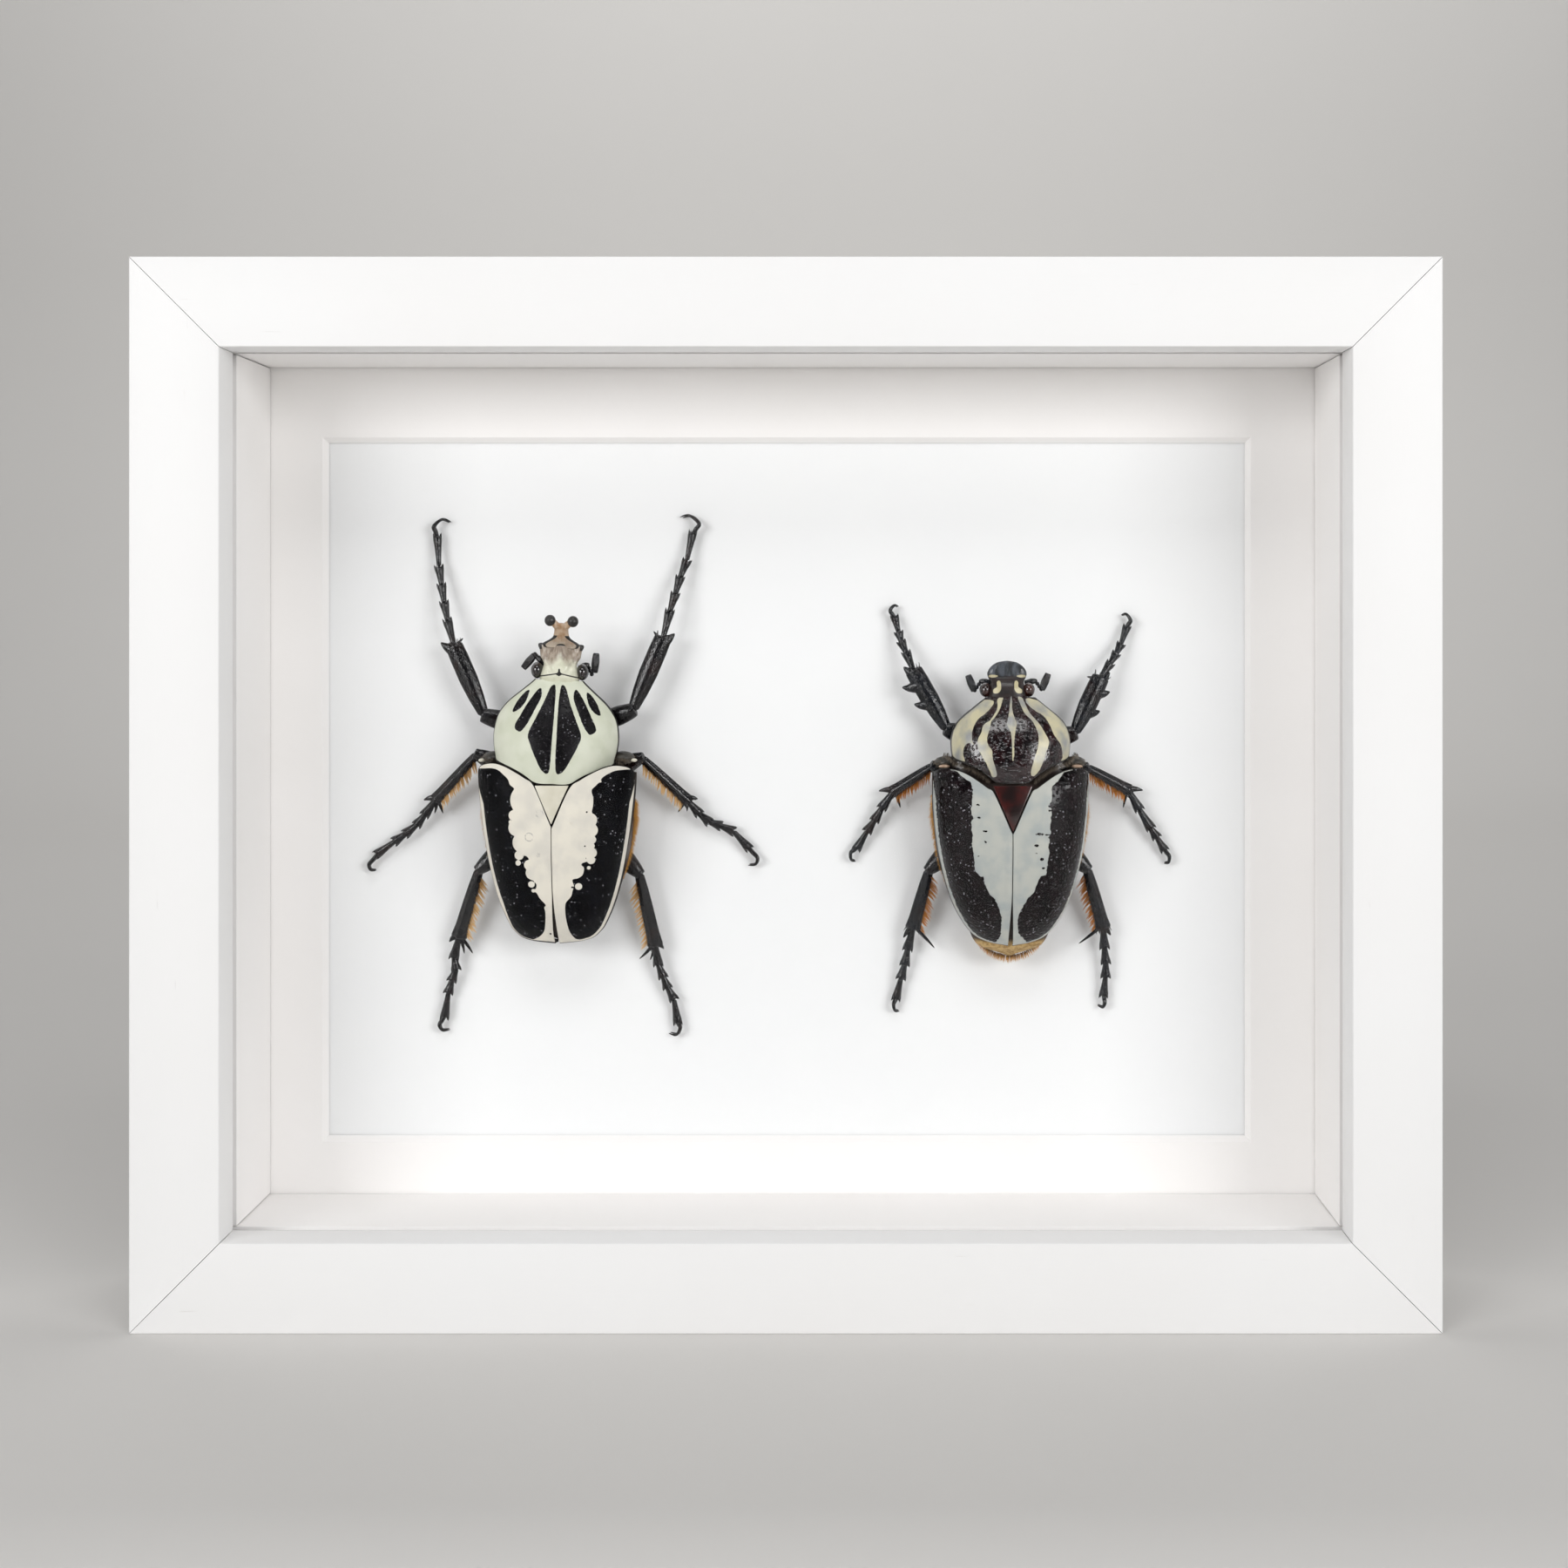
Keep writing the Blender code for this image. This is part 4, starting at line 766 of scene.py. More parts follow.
def shell_sheet(rows, front, rear, square, low_turn, high_turn, fine, swell):
    """A domed sheet between two edges, each given as y at a distance from the middle line."""
    across, along = fine
    turns = even_turns(square, 1.7, low_turn, high_turn, across + 1)

    def form(u, v):
        turn = turns[int(round(u * across))]
        side, rise = arc(min(max(turn, 0.0), math.pi), square)
        under = max(-turn, turn - math.pi, 0.0)
        reach = abs(side) * at(rows, 0.0)[0]
        y = at(front, reach)[0] + (at(rear, reach)[0] - at(front, reach)[0]) * v
        width, back, seam = at(rows, y)
        x = side * width
        z = seam + (back - seam) * rise
        if under:
            x -= math.copysign(ROLL * (1 - math.cos(under)), x)
            z -= ROLL * math.sin(under)
        return Vector((x, y, z + swell(x, y)))

    return rolled_grid(across, along, form, sheet=True)


def shield_swell(x, y):
    """A low middle ridge at the front and a dip behind it."""
    ridge = 0.35 * math.exp(-((x / 0.8) ** 2)) * ease(y, 14.0, 24.0)
    return ridge - 0.25 * math.exp(-((x / 3.0) ** 2)) * (1 - ease(y, 1.0, 5.0))


def outline_of(rows, low, high):
    """A form's outline from above, with its ends drawn on to y = low and to y = high."""
    line = [(at(rows, y)[0], y) for y in np.linspace(min(rows)[0], max(rows)[0], 80)]
    line = [(line[0][0], low)] + line + [(line[-1][0], high)]
    return [Vector(place) for place in line] + [Vector((-x, y)) for x, y in reversed(line)]


def edge_distance(piece, rows, low, high, edge):
    """Each vertex's place, its height above the side seam, how far it lies inside the outline, and how far
    it lies from the front or hind edge, given as y at a distance from the middle line."""
    places = mesh_places(piece)
    height = np.array([z - at(rows, y)[2] for _, y, z in places])
    run = np.array([abs(at(edge, abs(x))[0] - y) for x, y, _ in places])
    return places, height, inside(places, outline_of(rows, low, high)), run


SHIELD_TURNS = (-0.9, math.pi + 0.9)
LEAN_SHIFT = -0.9
LEAN_YAW = math.radians(-3.0)
LEAN_ROLL = math.radians(5.0)
LEAN_HEIGHT = 13.0


def lean_matrix():
    """The slight shift and turn of the male's front body."""
    pivot = Matrix.Translation((0.0, 0.0, LEAN_HEIGHT))
    roll = pivot @ Matrix.Rotation(LEAN_ROLL, 4, "Y") @ pivot.inverted()
    return Matrix.Translation((LEAN_SHIFT, 0.0, 0.0)) @ Matrix.Rotation(LEAN_YAW, 4, "Z") @ roll


MALE_FRONT = MALE_CARD @ lean_matrix()


def model_shield(rows, front, rear, swell, mark_of):
    """A front shield whose marks are mark_of(places)."""
    piece = shell_sheet(rows, front, rear, SQUARE_SHIELD, *SHIELD_TURNS, (150, 120), swell)
    places, height, gap, behind = edge_distance(piece, rows, -30.0, 60.0, rear)
    ahead = np.array([abs(at(front, abs(x))[0] - y) + 0.5 * ease(abs(x), 4.0, 7.0) for x, y, _ in places])
    store(piece, "mark", mark_of(places))
    # The rim number marks a dark line along the outer, front and hind edges and over the rolled-under part:
    # partly dark margin, partly painted shade in the gaps and under the edge.
    store(piece, "rim", np.max([0.2 - height, 0.32 - gap, 0.32 - behind, 0.3 - ahead], axis=0))
    thicken(piece, 0.8, 0.16)
    return piece


def bars_both_sides(places):
    """How deep each place lies in a bar, or in its mirrored twin."""
    folded = np.column_stack([np.abs(places[:, 0]), places[:, 1]])
    return np.max([inside(folded, rounded(bar)) for bar in SHIELD_BARS], axis=0)


shield = model_shield(SHIELD_ROWS, SHIELD_FRONT, SHIELD_REAR, shield_swell, bars_both_sides)
keep(shield, "male_front_shield", SHIELD, ("pronotum",), MALE_FRONT)
print("front shield faces:", len(shield.data.polygons))

# %% [markdown]
# ## The male's wing covers
# The two hard wing covers meet along the middle, part a little at the tail, and leave a triangle for the
# plate between them. Each is a sheet from the middle line to the rolled-under outer edge. Its black band
# is everything outside one long line, short of the pale outer rim. Pale discs bite lobes out of its edge
# or stand free in it, and a few dark dots lie on the pale side.

# %% Wing cover stations
COVER_ROWS = (
    (7.0, 20.2, 20.6, 13.2), (4.4, 20.7, 22.3, 12.5), (1.0, 20.7, 23.3, 12.1), (-3.0, 20.4, 24.0, 11.8),
    (-13.0, 19.2, 24.2, 11.3), (-23.0, 17.4, 23.0, 11.0), (-31.0, 15.2, 20.8, 10.9),
    (-37.2, 12.5, 17.5, 10.9), (-39.2, 10.9, 15.9, 11.0), (-40.5, 9.2, 14.7, 11.0), (-41.3, 6.6, 13.5, 11.1),
    (-41.75, 3.2, 12.6, 11.2), (-41.9, 0.6, 12.3, 11.3),
)
COVER_FRONT = (
    (0.0, -10.2), (0.3, -9.6), (4.7, 0.4), (7.3, 2.4), (9.9, 3.9), (13.0, 5.3), (15.7, 5.9), (18.1, 5.6),
    (19.6, 4.9), (20.7, 3.4),
)
BAND_LEFT = (
    (-21.5, 4.3), (-17.2, 4.7), (-15.6, 4.7), (-14.0, 4.2), (-12.9, 3.3), (-11.5, 2.1), (-10.9, 0.7),
    (-9.6, -0.5), (-9.4, -3.2), (-9.6, -5.8), (-9.7, -8.4), (-9.6, -12.5), (-7.6, -16.8), (-5.9, -18.3),
    (-6.0, -21.4), (-4.9, -23.9), (-4.0, -25.2), (-4.4, -26.8), (-3.9, -27.7), (-3.2, -29.0), (-1.9, -30.6),
    (-2.3, -31.4), (-2.1, -32.7), (-2.4, -36.0), (-3.0, -38.2), (-4.4, -39.7), (-6.1, -40.6),
)
BAND_RIGHT = (
    (21.5, 4.3), (16.8, 4.2), (15.0, 3.7), (13.0, 2.5), (11.5, 0.6), (10.3, -0.7), (10.7, -2.7),
    (10.7, -4.5), (10.4, -6.6), (11.0, -9.6), (10.9, -12.6), (10.0, -14.6), (10.0, -15.9), (10.6, -18.3),
    (7.7, -19.7), (8.3, -20.8), (7.9, -22.6), (6.7, -23.5), (5.3, -23.9), (5.6, -25.6), (5.2, -26.9),
    (4.8, -28.3), (3.4, -30.0), (3.1, -31.5), (3.1, -34.0), (3.4, -36.8), (4.0, -38.9), (5.0, -40.4),
)
PALE_DISCS = (
    (-6.5, -3.2, 4.2), (-9.7, -7.2, 1.42), (-10.7, -8.9, 0.45), (-9.1, -10.4, 2.1), (-7.4, -14.2, 2.7),
    (-8.4, -17.5, 1.2), (-5.8, -20.0, 1.35), (-4.9, -22.1, 1.85), (-8.7, -19.5, 0.72), (-5.35, -25.1, 0.85),
    (-4.9, -26.8, 0.5), (9.8, -8.4, 1.9), (10.1, -11.0, 1.8), (10.4, -13.5, 1.05), (10.5, -15.1, 0.6),
    (10.1, -16.9, 1.45), (10.1, -18.8, 1.05), (9.5, -20.8, 0.48), (6.8, -25.7, 0.9), (12.4, 1.5, 0.35),
)
DARK_DOTS = (
    (9.1, -6.3, 0.28), (8.6, -15.1, 0.24), (8.9, -18.3, 0.18), (5.2, -25.9, 0.3), (-1.3, -38.8, 0.28),
)
PIN_SCARS = ((-3.0, -6.7, 0.95), (-5.7, -12.7, 1.05), (-3.3, -17.4, 0.45))
SQUARE_COVER = 2.6


def ease_down(value, high, low):
    return 1 - ease(value, low, high)


def cover_sheet(side, rows, front, tail, humps, finest=(96, 190)):
    """One wing cover, still a sheet, from the middle line to its rolled edge; side is -1 for the left."""
    across, along = finest
    turns = even_turns(SQUARE_COVER, 1.7, math.pi / 2, -1.2, across + 1)

    def form(u, v):
        turn = turns[int(round(u * across))]
        out, rise = arc(max(turn, 0.0), SQUARE_COVER)
        under = max(-turn, 0.0)
        start = at(front, out * rows[2][1])[0]
        y = start + (tail - start) * (1 - (1 - v) ** 1.25)
        width, back, seam = at(rows, y)
        parting = 0.11 + 0.5 * ease_down(y, tail + 16.0, tail)
        x = parting + max(width - parting, 0.0) * out
        z = seam + (back - seam) * rise
        x -= min(ROLL, width) * (1 - math.cos(under))
        z -= ROLL * math.sin(under)
        for place, radius, height in humps:
            z += bump_at(x, y, place, radius, height)
        z += 0.22 * math.exp(-(((x - 1.0) / 0.7) ** 2)) * ease_down(y, -12.0, -22.0)
        return Vector((side * x, y, z))

    return rolled_grid(across, along, form, sheet=True)


MALE_HUMPS = (((15.0, 0.5), 2.6, 0.45), ((9.2, -34.5), 3.0, 0.6))


def pale_rim(places, wide):
    """How wide the pale rim is at each place: wide along the side, narrower at the tail, none in front."""
    return np.interp(places[:, 1], (-42.0, -38.0, -31.0, -4.5, 1.0), (0.6, 0.8, wide, wide, 0.1))


def model_male_cover(side, band):
    """The left (-1) or right cover with its lobed band; the band is all that lies outside its line."""
    front = tuple((reach, y - side * 0.3) for reach, y in COVER_FRONT)
    piece = cover_sheet(side, COVER_ROWS, front, -41.9, MALE_HUMPS)
    places, height, gap, run = edge_distance(piece, COVER_ROWS, -41.95, 60.0, front)
    line = rounded(band, closed=False)
    far = side * 60.0
    zone = [Vector((far, line[0].y))] + line + [Vector((far, line[-1].y - 20.0))]
    mark = np.minimum(inside(places, zone), outside_discs(places, PALE_DISCS))
    mark = np.maximum(mark, -outside_discs(places, DARK_DOTS))
    store(piece, "mark", np.minimum(mark, gap - pale_rim(places, 1.75 if side < 0 else 0.85)))
    # The rim number marks a dark line along the outer and front edges and over the rolled-under part: partly
    # dark margin, partly painted shade in the gaps and under the edge.
    store(piece, "rim", np.max([0.1 - height, (0.5 if side < 0 else 0.2) - gap, 0.28 - run], axis=0))
    scars = [np.abs(np.hypot(places[:, 0] - x, places[:, 1] - y) - r) for x, y, r in PIN_SCARS]
    store(piece, "scar", np.min(scars, axis=0))
    thicken(piece)
    return piece


for name, side, band in (("left", -1, BAND_LEFT), ("right", 1, BAND_RIGHT)):
    cover = model_male_cover(side, band)
    keep(cover, f"male_wing_cover_{name}", COVER, (f"wing_cover_{name}",), MALE_CARD)
    print("wing cover", name, "faces:", len(cover.data.polygons))

# %% [markdown]
# ## The plate between the wing covers
# The scutellum is a small three-cornered plate, slightly domed, flush with the wing covers. Its sides are
# straight and its front edge hides under the shield, so a grid that narrows to a point makes it.

# %% Model the scutellum
def model_plate(rows, front, tip, half_width, square):
    def form(u, v):
        y = front + (tip - front) * v
        half = half_width * (1 - v) + 0.05
        x = (2 * u - 1) * half
        width, back, seam = at(rows, y)
        rise = (1 - min(abs(x) / width, 1.0) ** square) ** (1 / square)
        crown = 0.12 * (1 - (2 * u - 1) ** 2) * ease(1 - v, 0.0, 0.4)
        return Vector((x, y, seam + (back - seam) * rise + crown))

    piece = rolled_grid(24, 40, form, sheet=True)
    thicken(piece, 1.2, 0.2, 3)
    return piece


plate = model_plate(COVER_ROWS, 0.5, -9.3, 4.3, SQUARE_COVER)
keep(plate, "male_scutellum", PLATE, ("scutellum",), MALE_CARD)
print("scutellum faces:", len(plate.data.polygons))

# %% [markdown]
# ## The body under the shells
# Thorax and abdomen are one dark form that fills the shells to just under their inner faces and swells
# down to the card. The belly has the crosswise grooves of its rings. The breast in front of it carries
# the forelegs. Both are rolled grids: once round for u, and from end to end for v.

# %% Model the undersides
UNDER_ROWS = (
    (7.2, 13.6, 15.0, 9.4, 5.0), (5.6, 16.4, 16.6, 9.2, 3.2), (2.0, 18.6, 18.6, 8.8, 1.6),
    (-4.0, 19.6, 19.4, 8.6, 0.6), (-10.0, 19.8, 21.8, 8.8, 0.4), (-18.0, 18.8, 21.8, 8.8, 0.4),
    (-28.0, 15.8, 19.4, 8.6, 0.8), (-36.0, 11.8, 15.6, 8.4, 2.4), (-39.6, 7.8, 12.8, 9.0, 5.4),
    (-41.3, 2.2, 11.4, 10.2, 8.6),
)
BREAST_ROWS = (
    (2.6, 9.0, 12.4, 9.0, 5.0), (8.0, 12.6, 12.6, 9.0, 3.8), (15.0, 13.2, 12.6, 9.2, 4.0),
    (21.0, 10.6, 12.6, 9.6, 5.8), (26.2, 6.0, 12.6, 10.4, 8.4),
)
BELLY_RINGS = (-19.0, -23.2, -27.4, -31.4, -35.2, -38.4)


def closed_form(rows, square, belly_square, fine=(64, 60), relief_at=None, blunt=0.07):
    """A closed body form through its stations, with its ends drawn to poles."""
    tail, head = min(rows)[0], max(rows)[0]

    def form(u, v):
        turn = 2 * math.pi * u
        ends = ease(v, 0.0, blunt) * ease(1 - v, 0.0, blunt)
        y = tail + (head - tail) * v
        width, back, seam, belly = at(rows, y)
        side, rise = arc(turn, square if math.sin(turn) >= 0 else belly_square)
        height = back - seam if rise >= 0 else seam - belly
        shrink = math.sqrt(ends)
        x, z = side * width, rise * height
        if relief_at is not None:
            x, z = relief_at(x, y, z, turn)
        return Vector((x * shrink, y, seam + z * shrink))

    return rolled_grid(*fine, form)


def ringed(x, y, z, turn):
    """Grooves between the rings of the belly, on its lower side only."""
    if math.sin(turn) < 0:
        groove = sum(math.exp(-(((y - ring) / 0.35) ** 2)) for ring in BELLY_RINGS)
        return x * (1 - 0.02 * groove), z * (1 - 0.06 * groove)
    return x, z


under = closed_form(UNDER_ROWS, 2.6, 2.2, (72, 150), ringed)
keep(under, "male_underbody", UNDERSIDE, ("thorax", "abdomen"), MALE_CARD)
breast = closed_form(BREAST_ROWS, 2.4, 2.2)
keep(breast, "male_breast", UNDERSIDE, ("breast_front",), MALE_FRONT)
print("undersides modelled")

# %% [markdown]
# ## The male's head and horn
# From above the head is narrow between the eyes and widens to a shovel with two front corners. A ridge
# runs up its middle into the horn, which leans forward, narrows, and forks into two black knobs. Head and
# horn are rolled grids, and the knobs are spheres pulled out of round.

# %% Model the head
HEAD_ROWS = (
    (26.0, 4.6, 15.6, 12.6, 8.0), (28.0, 5.2, 16.7, 12.8, 7.6), (29.8, 4.8, 17.0, 13.0, 7.8),
    (31.6, 4.3, 16.6, 13.2, 8.4), (32.6, 4.7, 16.1, 13.2, 9.0), (33.4, 5.2, 15.7, 13.3, 9.6),
    (35.2, 5.5, 15.0, 13.4, 11.0), (36.3, 5.95, 14.7, 13.5, 12.0), (37.0, 5.8, 14.5, 13.6, 12.6),
    (37.3, 5.3, 14.4, 13.6, 12.8),
)
HORN_ROWS = (
    (35.6, 4.4, 14.9, 14.0, 13.2), (36.6, 5.1, 15.0, 14.1, 13.2), (37.3, 4.4, 15.4, 14.3, 13.3),
    (38.0, 3.2, 15.9, 14.7, 13.6), (38.7, 2.3, 16.5, 15.2, 14.1), (39.4, 2.0, 17.0, 15.7, 14.6),
    (41.0, 1.85, 17.9, 16.6, 15.5), (42.0, 2.2, 18.5, 17.3, 16.4), (42.6, 2.5, 18.6, 17.5, 16.8),
)
KNOB = (2.95, 43.05, 18.0)
KNOB_RADIUS = 1.5
EYE_PLACE = (5.9, 29.8, 13.6)
EYE_RADII = (1.65, 2.15, 2.1)
HEAD_SPOT = ((-0.25, 28.6), (0.25, 28.6), (0.25, 30.6), (-0.25, 30.6))


def head_relief(x, y, z, turn):
    """The middle ridge, the hollows beside it, two slanted grooves and the raised front corners."""
    if z > 0:
        ramp = ease(y, 30.5, 35.5)
        z += 1.0 * math.exp(-((x / 1.3) ** 2)) * ramp
        z -= 0.8 * math.exp(-(((abs(x) - 3.1) / 1.2) ** 2)) * ramp
        groove = math.exp(-(((abs(x) - 1.4 - 0.55 * (y - 28.4)) / 0.5) ** 2))
        z -= 0.45 * groove * (1 - ramp) * ease(y, 28.4, 29.6)
        z += 0.5 * math.exp(-(((abs(x) - 5.4) / 0.9) ** 2)) * ease(y, 33.5, 36.0)
    return x, z


def ball(centre, radii, fine=(24, 14)):
    """A sphere set in place and pulled out of round."""
    deselect()
    bpy.ops.mesh.primitive_uv_sphere_add(segments=fine[0], ring_count=fine[1], radius=1.0, location=centre)
    piece = bpy.context.object
    piece.scale = radii
    bpy.ops.object.transform_apply()
    return piece


def model_head():
    piece = closed_form(HEAD_ROWS, 2.7, 2.4, (72, 80), head_relief, 0.03)
    places = mesh_places(piece)
    spot = inside(places, [Vector(point) for point in HEAD_SPOT])
    corner = np.abs(places[:, 0]) - 4.95
    seam = 0.17 - np.abs(places[:, 1] - 29.35 + 0.2 * np.abs(places[:, 0]))
    mark = np.max([spot, seam, np.minimum(corner, places[:, 1] - 35.4), places[:, 1] - 36.55], axis=0)
    store(piece, "mark", mark)
    tone = (places[:, 1] - 31.2) / 4.0 - 0.45 * np.exp(-((places[:, 0] / 1.0) ** 2))
    store(piece, "tone", np.clip(tone, -0.6, 0.8))
    return piece


def model_horn():
    stem = closed_form(HORN_ROWS, 2.2, 2.2, (48, 70))
    arms = []
    for side in (-1, 1):
        arms.append(limb([(side * 1.0, 41.5, 17.2), (side * 2.1, 42.6, 17.7), (side * 2.8, 43.0, 17.9)],
                         (1.0, 0.9, 0.8), (16, 12)))
        arms.append(ball((side * KNOB[0], KNOB[1], KNOB[2]), (1.45, 1.5, 1.35)))
    horn = join([stem] + arms, "horn")
    places = mesh_places(horn)
    knob = KNOB_RADIUS + 0.1 - np.hypot(np.abs(places[:, 0]) - 3.1, places[:, 1] - 43.2)
    reach = np.array([at(HORN_ROWS, y)[0] for y in places[:, 1]])
    edge = np.minimum(np.abs(places[:, 0]) - reach + 1.1, 39.2 - places[:, 1])
    store(horn, "mark", np.maximum(knob, edge))
    store(horn, "tone", np.clip((places[:, 1] - 37.0) / 4.0, -0.2, 1.0))
    return horn


# %% [markdown]
# ## Limbs
# A thigh, a shin, a foot piece or a claw is a grid rolled round a curved path, with its own width and
# height at each step. The path is smooth through a few points, and the rings stay upright off the card.

# %% Roll a grid round a path
def limb(points, widths, fine=(16, 24), flat=1.0, ridges=0.0, blunt=0.06):
    """A closed limb along a path; widths are its radii at the points, flat its height over its width."""
    path = rounded(points, between=8, closed=False)
    shares = np.linspace(0, 1, len(points))
    count = len(path) - 1

    def form(u, v):
        place = v * count
        index = min(int(place), count - 1)
        centre = path[index].lerp(path[index + 1], place - index)
        ahead = path[min(index + 1, count)] - path[max(index - 1, 0)]
        across = Vector((-ahead.y, ahead.x, 0.0))
        across = across.normalized() if across.length > 1e-6 else Vector((1.0, 0.0, 0.0))
        up = ahead.normalized().cross(across) * -1
        radius = float(np.interp(v, shares, widths))
        end = math.sqrt(min(v / blunt, (1 - v) / blunt, 1.0))
        turn = 2 * math.pi * u
        radius *= end * (1 + ridges * math.cos(4 * turn))
        return centre + (across * math.cos(turn) - up * math.sin(turn) * flat) * radius

    return rolled_grid(*fine, form)


head = model_head()
keep(head, "male_head", HEAD, ("head",), MALE_FRONT)
horn = model_horn()
keep(horn, "male_horn", HORN, ("horn",), MALE_FRONT)
for name, side in (("left", -1), ("right", 1)):
    eye = ball((side * EYE_PLACE[0], EYE_PLACE[1], EYE_PLACE[2]), EYE_RADII, (32, 20))
    keep(eye, f"male_eye_{name}", EYE, (f"eye_{name}",), MALE_FRONT, smooth=60)
print("head and horn modelled")

# %% [markdown]
# ## Mouthparts and feelers
# Under the head sit the chin and the two brush-like jaws' palps. Each feeler has a thick first piece, a
# few beads, and a club of three leaves folded together. The two feelers bend differently, as they dried.

# %% Model mouthparts and feelers
FEELERS = {
    "left": (((-4.0, 31.0, 11.9), (-6.2, 33.2, 11.2)), ((-6.2, 33.2, 11.2), (-6.9, 33.9, 10.9)),
             ((-6.9, 33.8, 10.9), (-9.9, 29.9, 9.9))),
    "right": (((4.6, 30.8, 11.9), (7.0, 31.8, 11.2)), ((7.0, 31.8, 11.2), (8.2, 29.3, 10.4)),
              ((8.9, 29.6, 10.3), (9.1, 35.0, 10.1))),
}


def model_feeler(scape, stalk, club, thick=1.35):
    """A club-shaped first piece, four beads and three folded leaves."""
    pieces = [limb([scape[0], Vector(scape[0]).lerp(Vector(scape[1]), 0.6), scape[1]],
                   (0.35 * thick, 0.62 * thick, 0.5 * thick), (14, 16))]
    start, end = Vector(stalk[0]), Vector(stalk[1])
    for index in range(4):
        centre = start.lerp(end, index / 3)
        pieces.append(ball(centre, (0.42 * thick,) * 3, (12, 8)))
    start, end = Vector(club[0]), Vector(club[1])
    across = Vector((-(end - start).y, (end - start).x, 0.0)).normalized()
    for layer in (-1, 0, 1):
        shift = across * 0.28 * layer * thick
        middle = start.lerp(end, 0.5) + shift * 1.3
        radii = (0.3 * thick, 0.42 * thick, 0.3 * thick)
        pieces.append(limb([start + shift, middle, end + shift], radii, (12, 18)))
    return join(pieces, "feeler")


def model_mouth():
    """The chin, the two jaws and their palps."""
    pieces = [ball((0.0, 29.6, 7.6), (2.6, 3.6, 1.5))]
    for side in (-1, 1):
        pieces.append(ball((side * 2.6, 32.6, 8.8), (1.7, 3.2, 1.9)))
        palp = [(side * 3.4, 33.0, 9.0), (side * 4.4, 35.2, 9.2), (side * 4.0, 37.0, 9.6)]
        pieces.append(limb(palp, (0.4, 0.35, 0.3)))
    return join(pieces, "mouth")


mouth = model_mouth()
keep(mouth, "male_mouthparts", LEG, ("mouthparts",), MALE_FRONT)
for name, parts in FEELERS.items():
    feeler = model_feeler(*parts)
    keep(feeler, f"male_feeler_{name}", LEG, (f"feeler_{name}",), MALE_FRONT)
print("mouthparts and feelers modelled:", 1 + len(FEELERS))

# %% [markdown]
# ## Leg points
# A leg is told by a few points, from its socket in the body out to the tip of its claws: the knee, the
# ankle, the shin's outer teeth and inner spurs, the ends of the foot's pieces, and the bend of the claw.
# The three pairs share their thicknesses, given as radii seen from the front.

# %% The legs of both beetles
Leg = namedtuple("Leg", "pair root knee ankle teeth spurs joints claw")
Pair = namedtuple("Pair", "femur tibia foot fringe")

